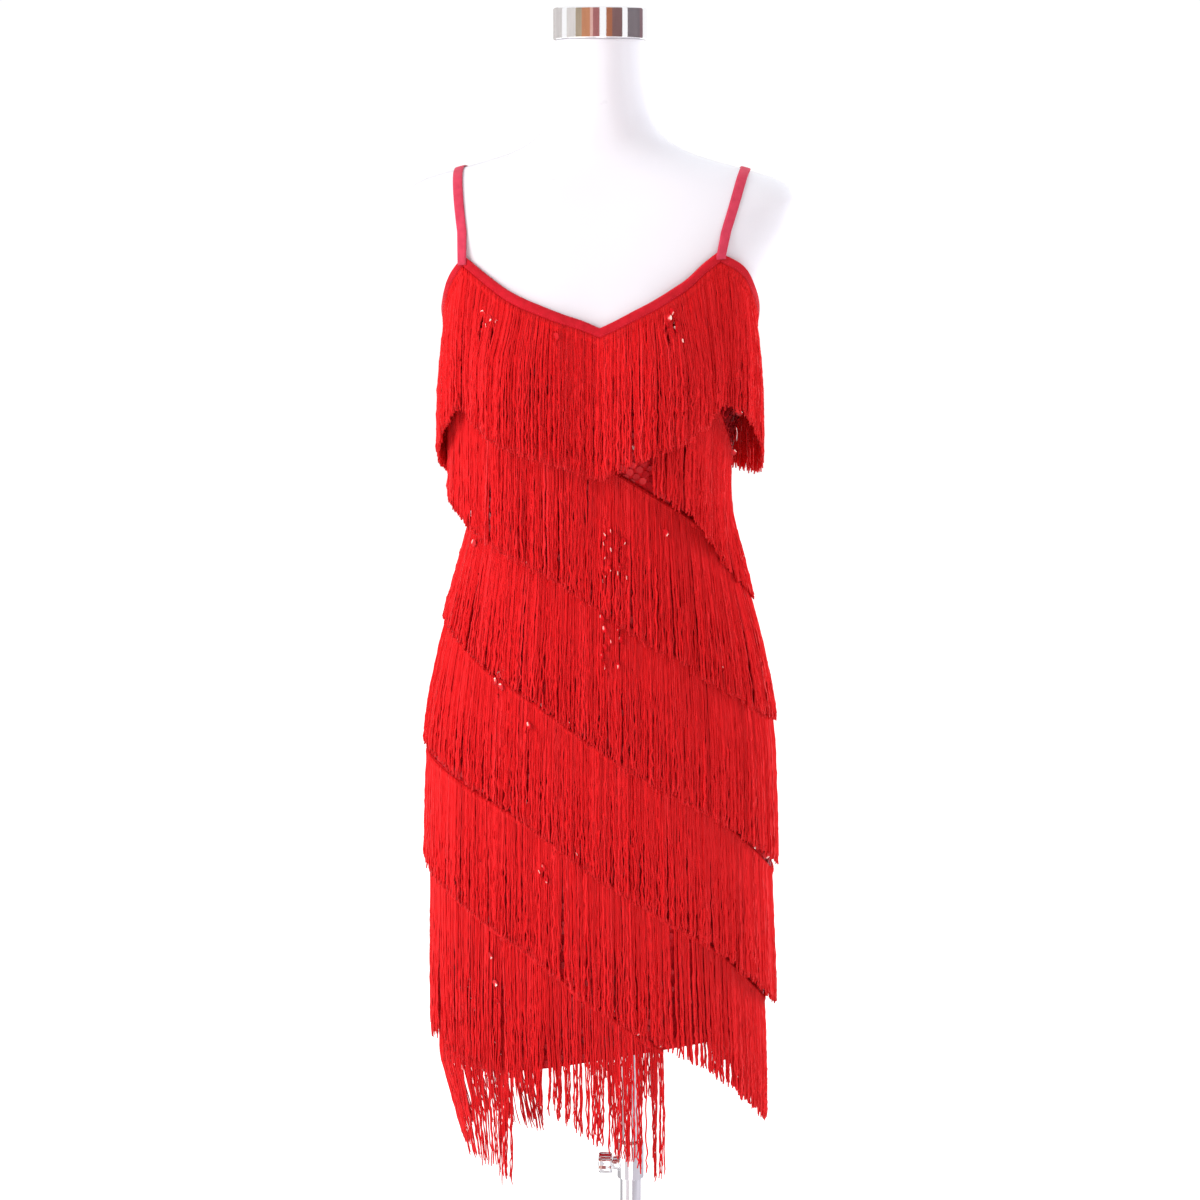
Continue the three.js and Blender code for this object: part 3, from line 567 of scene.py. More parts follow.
# %% [markdown]
# ## The form
#
# The form is one hollow moulding from the neck to below the hips, 3 mm inside the cloth. Below
# the hips it narrows, hidden by the skirt. Two walls of one grid, joined at the foot and closed at
# the neck, make the shell. A dense outer grid keeps its highlights smooth, and the inner wall,
# which nobody sees, has few rows.

# %% Form shell
EASE = 3.0
SHELL = 3.5
FORM_FOOT_Z = 600.0
HIP_Z = 832.0
FORM_NARROWING = 26.0
FORM_SIDES = 120


def form_inset(z):
    share = np.clip((HIP_Z - z) / (HIP_Z - FORM_FOOT_Z), 0, 1)
    return EASE + FORM_NARROWING * share * share * (3 - 2 * share)


def on_form(turn, z, lift=0.0):
    return point_at(turn, z, body_radius(turn, z) - form_inset(z) + lift)


form_turns = np.arange(FORM_SIDES) * 360 / FORM_SIDES
sideways_bias = 1.35
form_turns = np.degrees(
    np.arctan2(sideways_bias * np.sin(np.radians(form_turns)), np.cos(np.radians(form_turns)))
)
outer_rows = np.concatenate([np.linspace(FORM_FOOT_Z, 1280, 56), np.linspace(1290, NECK_TOP_Z, 41)])
inner_rows = np.concatenate([[FORM_FOOT_Z], np.linspace(640, 1330, 14), [1350, 1366, 1380, 1395, 1410]])
outer_wall = on_form(form_turns[None, :], outer_rows[:, None])
inner_wall = on_form(form_turns[None, :], inner_rows[:, None], -SHELL - 2)
inner_wall[-1, :, 2] -= 6
crown = point_at(0, NECK_TOP_Z, 0.0)[None]
under_crown = crown - [0, 0, 125]
form_points = np.concatenate([outer_wall.reshape(-1, 3), inner_wall.reshape(-1, 3), crown, under_crown])
inner_start = outer_wall.shape[0] * FORM_SIDES
outer_top = inner_start - FORM_SIDES
inner_top = inner_start + (len(inner_rows) - 1) * FORM_SIDES
crown_index = len(form_points) - 2
form_faces = grid_faces(len(outer_rows), FORM_SIDES, closed=True)
form_faces += [face[::-1] for face in grid_faces(len(inner_rows), FORM_SIDES, inner_start, closed=True)]
for k in range(FORM_SIDES):
    n = (k + 1) % FORM_SIDES
    form_faces.append((inner_start + k, inner_start + n, n, k))
    form_faces.append((outer_top + k, outer_top + n, crown_index))
    form_faces.append((inner_top + n, inner_top + k, crown_index + 1))
torso = make_piece("torso_shell", form_points, looking_out(form_points, form_faces), shell.material)
torso.data.set_sharp_from_angle(angle=math.radians(50))
put_on(torso, "form", "form_shell", "form_torso")

# %% Form's floor plate
FLOOR_PLATE_THICK = 5.0
FLOOR_PLATE_CLEAR = SHELL + 1.1


def flat_plate(name, outline, low_z, high_z, rounding, finish):
    """A plate with a rounded edge, from an outline that is drawn in a little at top and bottom."""
    middle = outline.mean(axis=0)
    inward = middle - outline
    inward = inward / np.linalg.norm(inward, axis=1)[:, None]
    steps = [(1.0, low_z), (0.3, low_z + rounding * 0.3), (0.0, low_z + rounding)]
    steps += [(0.0, high_z - rounding), (0.3, high_z - rounding * 0.3), (1.0, high_z)]
    rings = [np.column_stack([outline + inward * rounding * share, np.full(len(outline), z)]) for share, z in steps]
    count = len(outline)
    points = np.concatenate(rings)
    faces = grid_faces(len(rings), count, closed=True)
    faces.append(tuple(range(count))[::-1])
    faces.append(tuple(range((len(rings) - 1) * count, len(rings) * count)))
    piece = make_piece(name, points, looking_out(points, faces), finish)
    piece.data.set_sharp_from_angle(angle=math.radians(50))
    return piece


plate_outline = on_form(form_turns, FORM_FOOT_Z, -FLOOR_PLATE_CLEAR)[:, :2]
plate_top = FORM_FOOT_Z + FLOOR_PLATE_THICK
floor_plate = flat_plate("torso_floor", plate_outline, FORM_FOOT_Z, plate_top, 0.8, shell.material)
put_on(floor_plate, "form", "form_shell", "form_floor")

# %% [markdown]
# ## Neck cap and stand
#
# All of the stand is turned metal, so one function makes it: a profile of radii and heights,
# spun about an axis, with its first and last point on the axis or the profile closed on itself.
# Corners that a lathe would break are drawn as small arcs, because chrome shows its edges as
# bright lines.

# %% Turned pieces
def rounded(profile, radius, steps=3):
    """Cuts each inner corner of a profile into a short arc."""
    made = [profile[0]]
    for before, corner, after in zip(profile, profile[1:], profile[2:]):
        before, corner, after = (np.array(p, float) for p in (before, corner, after))
        back, ahead = before - corner, after - corner
        cut = min(radius, 0.45 * np.linalg.norm(back), 0.45 * np.linalg.norm(ahead))
        start = corner + back / np.linalg.norm(back) * cut
        end = corner + ahead / np.linalg.norm(ahead) * cut
        for k in range(steps + 1):
            t = k / steps
            made.append((1 - t) ** 2 * start + 2 * t * (1 - t) * corner + t * t * end)
    return [tuple(map(float, p)) for p in made] + [profile[-1]]


def turned_mesh(profile, sides):
    """Points and faces of a profile spun about Z. Points on the axis are shared."""
    angles = 2 * np.pi * np.arange(sides) / sides
    points, rings = [], []
    for radius, z in profile:
        rings.append((len(points), 1 if radius == 0 else sides))
        if radius == 0:
            points.append((0.0, 0.0, z))
        else:
            points += [(radius * math.cos(a), radius * math.sin(a), z) for a in angles]
    faces = []
    for (start, count), (next_start, next_count) in zip(rings, rings[1:]):
        for k in range(sides):
            n = (k + 1) % sides
            corners = [
                start + k % count,
                start + n % count,
                next_start + n % next_count,
                next_start + k % next_count,
            ]
            faces.append(tuple(dict.fromkeys(corners)))
    return np.array(points), faces


def ring_mesh(profile, sides):
    """As turned_mesh, for a profile that closes on itself and never meets the axis."""
    angles = 2 * np.pi * np.arange(sides) / sides
    points = np.array([(r * math.cos(a), r * math.sin(a), z) for r, z in profile for a in angles])
    faces = grid_faces(len(profile), sides, closed=True)
    top = (len(profile) - 1) * sides
    for k in range(sides):
        n = (k + 1) % sides
        faces.append((top + k, top + n, n, k))
    return points, faces


def metal_piece(name, mesh, finish, centre=(0, 0)):
    points, faces = mesh
    points = points + [centre[0], centre[1], 0]
    piece = make_piece(name, points, looking_out(points, faces), finish)
    piece.data.set_sharp_from_angle(angle=math.radians(40))
    return piece


# %% Neck cap
CAP_RADIUS = 47.5
CAP_HEIGHT = 31.5
cap_foot = NECK_TOP_Z + 0.3
cap_top = cap_foot + CAP_HEIGHT
cap_profile = rounded([(0, cap_foot), (CAP_RADIUS, cap_foot), (CAP_RADIUS, cap_top), (0, cap_top)], 2.0, 5)
cap_middle = (FORM_X, float(SECTION_TRACKS["mid_y"](NECK_TOP_Z)))
neck_cap = metal_piece("chrome_neck_cap", turned_mesh(cap_profile, 144), chrome.material, cap_middle)
put_on(neck_cap, "form", "chrome", "neck_cap")

# %% Base plate and its socket
BASE_RADIUS = 170.0
BASE_TOP_Z = 8.0
base_profile = rounded(
    [(0, 0), (BASE_RADIUS - 1.5, 0), (BASE_RADIUS, 1.5), (BASE_RADIUS, 3), (BASE_RADIUS - 2, 4.5)]
    + [(BASE_RADIUS - 100, 6.5), (BASE_RADIUS - 140, BASE_TOP_Z), (0, BASE_TOP_Z)],
    1.2,
)
base = metal_piece("round_base_plate", turned_mesh(base_profile, 160), brushed.material)
put_on(base, "stand", "base", "base_plate")


def tube_profile(inner, outer, low_z, high_z, rounding):
    corners = [(inner, low_z), (outer, low_z), (outer, high_z), (inner, high_z)]
    looped = rounded([corners[-1], *corners, corners[0]], rounding)
    return looped[1:-1]


socket_mesh = ring_mesh(tube_profile(11.4, 18, BASE_TOP_Z + 0.3, BASE_TOP_Z + 22, 1.8), 72)
put_on(metal_piece("pole_socket", socket_mesh, chrome.material), "stand", "chrome", "base_socket")

# %% Lower tube and mast
TUBE_TOP_Z = 344.0
MAST_TOP_Z = 592.0
tube_mesh = ring_mesh(tube_profile(9.7, 11, BASE_TOP_Z + 0.3, TUBE_TOP_Z, 0.5), 72)
put_on(metal_piece("lower_pole", tube_mesh, chrome.material), "stand", "chrome", "lower_tube")
mast_mesh = ring_mesh(tube_profile(7.7, 9, 225, MAST_TOP_Z, 0.5), 72)
put_on(metal_piece("sliding_mast", mast_mesh, chrome.material), "form", "chrome", "mast")

# %% Socket under the form
flange_top = FORM_FOOT_Z - 0.3
flange_profile = rounded(
    [(9.5, flange_top - 42), (14, flange_top - 42), (14, flange_top - 6), (32, flange_top - 4)]
    + [(32, flange_top), (9.5, flange_top)],
    1.0,
)
flange_mesh = ring_mesh([*flange_profile, (9.5, MAST_TOP_Z + 1)], 72)
put_on(metal_piece("mast_flange", flange_mesh, chrome.material), "form", "chrome", "mast_socket")

# %% [markdown]
# ## Clamp
#
# A collar joins the two tubes. It has a boss on one side with a hole, in which a thumb screw
# presses on the mast. The collar, boss and hole are one casting, so they are three turned
# bodies, joined and cut with booleans, which is how a modeller would think of the casting.

# %% Clamp collar
SCREW_Z = 352.0
ACROSS_LEFT = np.array([[0.0, 0.0, -1.0], [0.0, 1.0, 0.0], [1.0, 0.0, 0.0]])


def laid_left(mesh):
    """Lays a body turned about Z along -X, at the screw's height."""
    points, faces = mesh
    return points @ ACROSS_LEFT.T + [0, 0, SCREW_Z], faces


def combine(piece, other, operation):
    """Joins or cuts two closed pieces, and drops the second."""
    step = piece.modifiers.new(operation.lower(), "BOOLEAN")
    step.object = other
    step.operation = operation
    step.solver = "EXACT"
    bpy.context.view_layer.update()
    evaluated = piece.evaluated_get(bpy.context.evaluated_depsgraph_get())
    result = bpy.data.meshes.new_from_object(evaluated)
    piece.modifiers.clear()
    piece.data = result
    bpy.data.objects.remove(other)


collar_profile = [(11.4, 337), (14, 337), (14, 377), (9.5, 377), (9.5, 344.3), (11.4, 344.3)]
collar_ring = rounded([collar_profile[-1], *collar_profile, collar_profile[0]], 0.9)[1:-1]
collar = metal_piece("tube_clamp", ring_mesh(collar_ring, 72), chrome.material)
boss_profile = rounded([(0, 12), (7, 12), (7, 18.8), (0, 18.8)], 0.9)
boss = metal_piece("boss", laid_left(turned_mesh(boss_profile, 48)), chrome.material)
hole_profile = [(0, 8), (3.5, 8), (3.5, 22), (0, 22)]
hole = metal_piece("hole", laid_left(turned_mesh(hole_profile, 32)), chrome.material)
combine(collar, boss, "UNION")
combine(collar, hole, "DIFFERENCE")
collar.data.polygons.foreach_set("use_smooth", np.full(len(collar.data.polygons), True))
collar.data.set_sharp_from_angle(angle=math.radians(40))
put_on(collar, "stand", "chrome", "clamp_collar")

# %% Thumb screw
HEAD_RADIUS = 9.4
LOBE_DEPTH = 1.2
LOBES = 6
HEAD_START = 19.4
HEAD_DEPTH = 15.0
head_angles = 2 * np.pi * np.arange(96) / 96
head_outline = HEAD_RADIUS + 1 + LOBE_DEPTH * np.cos(LOBES * head_angles)
# The head's rings as (distance in from the outline, distance along the screw).
head_rings = [(4.4, 0), (1.6, 0.1), (0.5, 0.7), (0, 1.8), (0, HEAD_DEPTH - 2.6), (0.5, HEAD_DEPTH - 1.2)]
head_rings += [(1.7, HEAD_DEPTH - 0.3), (4.0, HEAD_DEPTH)]
head_points = []
for inset, along in head_rings:
    ring_radius = head_outline - inset
    head_points.append(
        np.column_stack(
            [
                ring_radius * np.cos(head_angles),
                ring_radius * np.sin(head_angles),
                np.full(96, HEAD_START + along),
            ]
        )
    )
head_points = np.concatenate(head_points)
head_faces = grid_faces(len(head_rings), 96, closed=True)
head_faces.append(tuple(range(96))[::-1])
head_faces.append(tuple(range(len(head_points) - 96, len(head_points))))
screw = metal_piece("thumb_screw", laid_left((head_points, head_faces)), chrome.material)
stem_profile = rounded([(0, 9.3), (3, 9.3), (3, HEAD_START + 4), (0, HEAD_START + 4)], 0.5)
stem = metal_piece("stem", laid_left(turned_mesh(stem_profile, 32)), chrome.material)
combine(screw, stem, "UNION")
screw.data.polygons.foreach_set("use_smooth", np.full(len(screw.data.polygons), True))
screw.data.set_sharp_from_angle(angle=math.radians(40))
put_on(screw, "screw", "chrome", "clamp_screw")

# %% [markdown]
# ## Lines round the dress
#
# The hem, the top edge and the eight headers are lines round the body: a height for each turn.
# The top edge is a table of its own, smooth between its corners at the V and the straps' points.
# The dress hangs a little askew, so the V lies right of the form's middle. The other lines slant
# down to the viewer's right, and six heights are enough for each.

# %% Top edge and hem
# The top edge as turn: height, from the right strap's point behind, once round to the same point.
TOP_EDGE = {
    -226: 1258, -218: 1253, -209: 1249, -200: 1246, -190: 1245, -180: 1244,
    -170: 1245, -160: 1246, -151: 1249, -142: 1253, -134: 1258, -125: 1247, -115: 1240, -106: 1238,
    -98: 1241, -90: 1249, -83: 1258, -76: 1270, -68: 1292, -61: 1313, -54: 1297, -46: 1283, -37: 1273,
    -27: 1265, -16: 1257, -6: 1251, 3: 1244, 11: 1251, 20: 1260, 30: 1270, 39: 1281, 47: 1293,
    53: 1307, 58: 1318, 65: 1306, 72: 1287, 80: 1269, 90: 1252, 98: 1242, 106: 1238, 115: 1240,
    125: 1247, 134: 1258,
}
TOP_EDGE_CORNERS = (-226, -134, -61, 3, 58, 134)
STRAP_FRONT_TURN = {"left": -61, "right": 58}
STRAP_BACK_TURN = {"left": -134, "right": 134}
top_edge_tracks = []
for first, last in zip(TOP_EDGE_CORNERS, TOP_EDGE_CORNERS[1:]):
    stretch = {turn: z for turn, z in TOP_EDGE.items() if first <= turn <= last}
    top_edge_tracks.append(smooth_track(list(stretch), list(stretch.values())))


def top_edge(turn):
    """The top edge's height: smooth between its corners and sharp at them."""
    turn = (np.asarray(turn, float) - TOP_EDGE_CORNERS[0]) % 360 + TOP_EDGE_CORNERS[0]
    stretches = [turn <= last for last in TOP_EDGE_CORNERS[1:]]
    return np.select(stretches, [track(turn) for track in top_edge_tracks])


def line_round(left, mid_left, front, mid_right, right, back):
    """A line's height at any turn, from its heights at six turns."""
    turns = (-270, -180, -90, -45, 0, 45, 90, 180, 270)
    track = smooth_track(turns, (right, back, left, mid_left, front, mid_right, right, back, left))
    return lambda turn: track(wrap_turn(turn))


hem_height = line_round(474, 482, 499, 513, 518, 498)
UNDER_BINDING = 7.8
ROW_LINES = {
    "neck": lambda turn: top_edge(turn) - UNDER_BINDING,
    "bust": line_round(1350, 1310, 1262, 1203, 1108, 1215),
    "waist": line_round(1214, 1179, 1118, 1064, 1003, 1105),
    "high_hip": line_round(1043, 1023, 973, 910, 842, 945),
    "hip": line_round(950, 896, 831, 768, 678, 815),
    "thigh": line_round(805, 768, 701, 631, 541, 675),
    "low": line_round(688, 637, 560, 497, 455, 555),
    "corner": line_round(577, 536, 470, 440, 430, 478),
}
print("the hem runs between", round(float(hem_height(-90))), "and", round(float(hem_height(90))), "mm")

# %% [markdown]
# ### Partings
#
# Fringe that has been handled parts in places, and the cloth shows in the slit. Each parting has
# a turn, the heights between which it is open, half its width, and the share of the sequins in it
# that hang loose with a painted glint. The cords and the sequins both read this table.

# %% Partings
PARTINGS = [
    (-51.7, 1262, 1224, 2.6, 1.0),
    (-46.3, 1256, 1220, 2.4, 1.0),
    (33.7, 1254, 1225, 2.4, 1.0),
    (37.1, 1262, 1232, 2.0, 1.0),
    (51.2, 1250, 1148, 1.0, 0.0),
    (11.8, 1185, 1095, 1.0, 0.0),
    (-3.9, 1105, 1038, 1.1, 0.0),
    (-40.0, 1088, 1066, 1.4, 1.0),
    (5.3, 1048, 988, 1.3, 0.8),
    (13.6, 1045, 985, 1.2, 0.8),
    (5.2, 968, 902, 1.2, 0.8),
    (13.0, 955, 902, 1.1, 0.7),
    (-43.0, 904, 884, 1.8, 1.0),
    (-29.4, 855, 742, 1.3, 0.1),
    (-47.2, 818, 764, 1.2, 0.0),
    (60.7, 842, 744, 1.2, 0.0),
    (-23.4, 704, 684, 1.6, 1.0),
    (-6.2, 718, 700, 1.4, 1.0),
    (-45.5, 612, 498, 1.3, 0.3),
    (-56.3, 578, 542, 1.5, 0.8),
    (-24.0, 530, 425, 4.6, 0.0),
    (120.0, 1020, 930, 1.3, 0.2),
    (165.0, 850, 740, 1.4, 0.1),
    (-150.0, 760, 660, 1.3, 0.2),
    (-115.0, 1190, 1110, 1.1, 0.2),
]
PARTING_SPREAD = 6.0


def parted(turn, z, radius):
    """How far the partings push a cord aside at each place."""
    push = np.zeros(z.shape)
    for at_turn, high, low, half_width, _ in PARTINGS:
        away = np.radians(wrap_turn(turn - at_turn)) * radius
        opening = np.sin(np.pi * np.clip((high - z) / (high - low), 0, 1))
        push += np.sign(away) * half_width * opening * np.exp(-np.abs(away) / PARTING_SPREAD)
    return push


print(len(PARTINGS), "partings")

# %% [markdown]
# ## The cloth
#
# The dress has a front and a back panel, sewn at the sides. Knit that is worn on a form lies
# smooth over bust and hips and gathers a few soft drag lines where the body is hollow: at the
# waist, under the arms and above the hips. A cloth simulation would wipe those out on a tight
# fit, so each crease is listed as a long soft ridge with its own length and height.

# %% Creases
CLOTH = 1.6
CREASE_MM_PER_TURN = 2.5
# Creases as (turn, z, half length, half width, slant in degrees, rise), one row each.
CREASES = [
    (-78, 1092, 38, 6, 12, 1.9),
    (-66, 1068, 46, 7, 4, 1.6),
    (-82, 1046, 30, 5, -9, 1.4),
    (74, 1098, 42, 6, -10, 1.9),
    (84, 1074, 34, 6, -3, 1.5),
    (68, 1050, 50, 8, 7, 1.3),
    (-30, 1082, 34, 7, 3, 0.9),
    (22, 1060, 40, 8, -5, 0.8),
    (-58, 1222, 30, 5, 48, 1.3),
    (60, 1218, 34, 6, -44, 1.4),
    (-98, 1198, 40, 6, 62, 1.5),
    (101, 1204, 36, 5, -58, 1.6),
    (148, 1076, 52, 7, -6, 2.0),
    (-152, 1088, 46, 8, 8, 1.8),
    (172, 1056, 60, 7, 2, 1.7),
    (-128, 1052, 38, 6, -7, 1.5),
    (120, 1112, 42, 7, 9, 1.4),
    (140, 930, 48, 9, -14, 1.1),
    (-136, 948, 54, 9, 11, 1.2),
    (-42, 640, 90, 11, 86, 1.3),
    (31, 610, 74, 10, 94, 1.1),
    (96, 655, 96, 12, 88, 1.4),
    (-104, 590, 80, 10, 92, 1.5),
    (158, 620, 88, 12, 85, 1.2),
    (-166, 668, 76, 11, 95, 1.0),
]


def crease_rise(turn, z):
    """How far the creases lift the cloth."""
    turn, z = np.broadcast_arrays(np.asarray(turn, float), np.asarray(z, float))
    rise = np.zeros(turn.shape)
    for at_turn, at_z, half_length, half_width, slant, height in CREASES:
        x = wrap_turn(turn - at_turn) * CREASE_MM_PER_TURN
        y = z - at_z
        cos, sin = math.cos(math.radians(slant)), math.sin(math.radians(slant))
        along = (x * cos + y * sin) / half_length
        across = (y * cos - x * sin) / half_width
        rise += height * np.exp(-(along**2) - across**2)
    return rise


def on_cloth(turn, z, lift=0.0):
    """A point on the cloth's outside, moved out."""
    return point_at(turn, z, body_radius(turn, z) + crease_rise(turn, z) + CLOTH + lift)


# %% Front and back panel
SIDE_SEAM_TURN = 0.06
PANEL_COLUMNS = 49
PANEL_SHARES = np.concatenate([[0, 0.006], np.linspace(0.02, 0.985, 52), [0.995, 1]])
KNIT_STRETCH = 1.04


def length_of(points):
    return float(np.linalg.norm(np.diff(points, axis=0), axis=1).sum())


def panel_piece(name, first_turn, last_turn):
    turns = np.linspace(first_turn + SIDE_SEAM_TURN, last_turn - SIDE_SEAM_TURN, PANEL_COLUMNS)
    low, high = hem_height(turns), top_edge(turns)
    heights = low[None, :] + (high - low)[None, :] * PANEL_SHARES[:, None]
    grid_turns = np.broadcast_to(turns, heights.shape)
    outer = on_cloth(grid_turns, heights)
    inner = on_cloth(grid_turns, heights, -CLOTH)
    rows, columns = heights.shape
    points = np.concatenate([outer.reshape(-1, 3), inner.reshape(-1, 3)])
    inside = rows * columns
    faces = grid_faces(rows, columns)
    faces += [face[::-1] for face in grid_faces(rows, columns, inside)]
    border = [c for c in range(columns)]
    border += [r * columns + columns - 1 for r in range(1, rows)]
    border += [(rows - 1) * columns + c for c in range(columns - 2, -1, -1)]
    border += [r * columns for r in range(rows - 2, 0, -1)]
    for a, b in zip(border, border[1:] + border[:1]):
        faces.append((a, a + inside, b + inside, b))
    piece = make_piece(name, points, looking_out(points, faces), knit.material)
    piece.data.set_sharp_from_angle(angle=math.radians(60))
    widest = max(length_of(row) for row in outer)
    longest = max(length_of(outer[:, c]) for c in range(columns))
    edge_u = outer[1:, :-1] - outer[:-1, :-1]
    edge_v = outer[:-1, 1:] - outer[:-1, :-1]
    area = float(np.linalg.norm(np.cross(edge_u, edge_v), axis=-1).sum())
    cut = {"width": widest / KNIT_STRETCH * MM, "length": longest * MM, "area": area / KNIT_STRETCH * MM * MM}
    print(name, {key: round(value, 3) for key, value in cut.items()})
    return piece, cut


front_panel, front_cut = panel_piece("front_panel", -90, 90)
back_panel, back_cut = panel_piece("back_panel", 90, 270)
put_on(front_panel, "form", "sequin_cloth", "dress_front")
put_on(back_panel, "form", "sequin_cloth", "dress_back")

# %% [markdown]
# ## Sequins
#
# The knit is sewn all over with cup sequins in slanting rows, each row a little over the next
# like roof tiles. They show as glints between the cords, some of them painted, and as dark scales
# where the rows of fringe leave the cloth bare. Thousands of small discs are quickest as one
# joined mesh: the places are an array, and every disc is the same seven corners round a sunk
# middle, turned to lie on the cloth there. A few carry a painted glint: they store a higher
# shade, which the finish turns into a pale painted highlight, mostly in the partings and just
# above the headers, where the cords of the row above end. Those have worked loose: they hang by
# their thread among the cords, turned to the window. Under the right arm the stored shade is
# lowered, as painted shade.

# %% Sequins
SEQUIN_RADIUS = 3.9
SEQUIN_PITCH = 8.3
SEQUIN_ROW_PITCH = 9.2
SEQUIN_DISH = 0.35
SEQUIN_CORNERS = 7
SEQUIN_LIFT = 0.95
LOOSE_LIFT = (3.8, 6.6)
LOOSE_FACING = -64
dice = np.random.default_rng(1925)


def even_turns(first, last, height_at, step):
    """Turns at even steps of a line's own length."""
    fine = np.linspace(first, last, 1441)
    line = on_cloth(fine, height_at(fine))
    length = np.concatenate([[0], np.cumsum(np.linalg.norm(np.diff(line, axis=0), axis=1))])
    count = int(round(length[-1] / step))
    return np.interp(np.linspace(0, length[-1], count + 1), length, fine), float(length[-1])


def surface_frame(turn, z):
    """Unit vectors on the cloth: round it, up it and out of it."""
    near = 0.4
    around = on_cloth(turn + near, z) - on_cloth(turn - near, z)
    upwards = on_cloth(turn, z + near) - on_cloth(turn, z - near)
    around /= np.linalg.norm(around, axis=-1, keepdims=True)
    out = np.cross(around, upwards)
    out /= np.linalg.norm(out, axis=-1, keepdims=True)
    return around, np.cross(out, around), out


def sequin_places(first_turn, last_turn):
    slant = line_round(119, 65, 0, -63, -153, -16)
    columns, _ = even_turns(first_turn, last_turn, lambda turn: np.full_like(turn, HIP_Z), SEQUIN_PITCH)
    half_step = (columns[1] - columns[0]) / 2
    places = []
    for row, level in enumerate(np.arange(300, 1500, SEQUIN_ROW_PITCH)):
        turns = columns + half_step * (row % 2)
        heights = level + slant(turns)
        keep = (heights > hem_height(turns) + 4.5) & (heights < top_edge(turns) - 9)
        keep &= (turns > first_turn + 1) & (turns < last_turn - 1)
        places.append(np.column_stack([turns[keep], heights[keep]]))
    places = np.concatenate(places)
    return places + dice.normal(0, 1, places.shape) * [0.12, 0.45]


def painted_glint_odds(turn, z):
    """How likely a sequin is to hang loose with a painted glint."""
    likely = np.full(turn.shape, 0.002)
    for at_turn, high, low, half_width, share in PARTINGS:
        away = np.radians(np.abs(wrap_turn(turn - at_turn))) * body_radius(turn, z)
        likely = np.where((away < half_width + SEQUIN_RADIUS) & (z < high) & (z > low), share, likely)
    for row_name, line in ROW_LINES.items():
        above = z - line(turn)
        share = 0.25 if row_name == "low" else 0.05
        likely = np.where((above > -2) & (above < 9), np.maximum(likely, share), likely)
    return likely


def painted_underarm_shade(turn, z):
    """Painted shade: 1 under the right arm, where the sequins are darkened to stand for the shade there."""
    return np.exp(-(((turn - 84) / 24) ** 2) - ((z - 1165) / 75) ** 2)


def sequin_piece(name, first_turn, last_turn):
    places = sequin_places(first_turn, last_turn)
    turn, z = places[:, 0], places[:, 1]
    # The sequins picked here hang loose, turned to the window, and carry a painted glint.
    loose_painted_glint = dice.random(len(turn)) < painted_glint_odds(turn, z)
    around, upwards, out = surface_frame(turn, z)
    tilt = np.radians(dice.normal(9, 5, len(turn)))[:, None]
    to_window = np.clip(wrap_turn(LOOSE_FACING - turn), -60, 60)
    yaw = np.radians(dice.normal(0, 6, len(turn)) + np.where(loose_painted_glint, to_window, 0))[:, None]
    normal = (out * np.cos(yaw) + around * np.sin(yaw)) * np.cos(tilt) - upwards * np.sin(tilt)
    normal /= np.linalg.norm(normal, axis=-1, keepdims=True)
    side = np.cross(upwards, normal)
    side /= np.linalg.norm(side, axis=-1, keepdims=True)
    up = np.cross(normal, side)
    middle = on_cloth(turn, z, np.where(loose_painted_glint, dice.uniform(*LOOSE_LIFT, len(turn)), SEQUIN_LIFT))
    angles = 2 * np.pi * (np.arange(SEQUIN_CORNERS) + 0.5) / SEQUIN_CORNERS
    rim = [middle + SEQUIN_RADIUS * (side * math.cos(a) + up * math.sin(a)) for a in angles]
    points = np.stack([middle - normal * SEQUIN_DISH, *rim], axis=1)
    start = np.arange(len(turn))[:, None] * (SEQUIN_CORNERS + 1)
    corner = np.arange(SEQUIN_CORNERS)
    fans = np.stack(
        np.broadcast_arrays(start, start + 1 + corner, start + 1 + (corner + 1) % SEQUIN_CORNERS), axis=-1
    )
    piece = make_piece(name, points, fans.reshape(-1, 3).tolist(), film.material, smooth=True)
    # Each sequin's own random tone, darkened under the right arm as painted shade.
    tone_with_painted_shade = dice.uniform(0.25, 0.8, len(turn)) * (1 - painted_underarm_shade(turn, z))
    shade = np.repeat(tone_with_painted_shade[:, None], SEQUIN_CORNERS + 1, axis=1)
    # Painted glint: two rim corners and the middle of each loose sequin are made pale, as a painted highlight.
    painted_highlight_corner = dice.integers(1, SEQUIN_CORNERS + 1, len(turn))
    shade[loose_painted_glint, painted_highlight_corner[loose_painted_glint]] = 1.0
    shade[loose_painted_glint, painted_highlight_corner[loose_painted_glint] % SEQUIN_CORNERS + 1] = 1.0
    shade[loose_painted_glint, 0] = dice.uniform(0.6, 1.0, int(loose_painted_glint.sum()))
    store(piece, "shade", shade)
    print(name, len(turn), "sequins")
    return piece


front_sequins = put_on(sequin_piece("front_sequins", -90, 90), "form", "sequin_cloth")
back_sequins = put_on(sequin_piece("back_sequins", 90, 270), "form", "sequin_cloth")

# %% [markdown]
# ## Tapes: bindings and headers
#
# Bindings and headers are narrow tapes that follow a line. A tape is one closed section, drawn as
# distances down and out, and swept along the line: each station's ring of points is the section
# at that turn, so the tape bends with the cloth and its creases. The bindings' section folds over
# the cloth's edge.

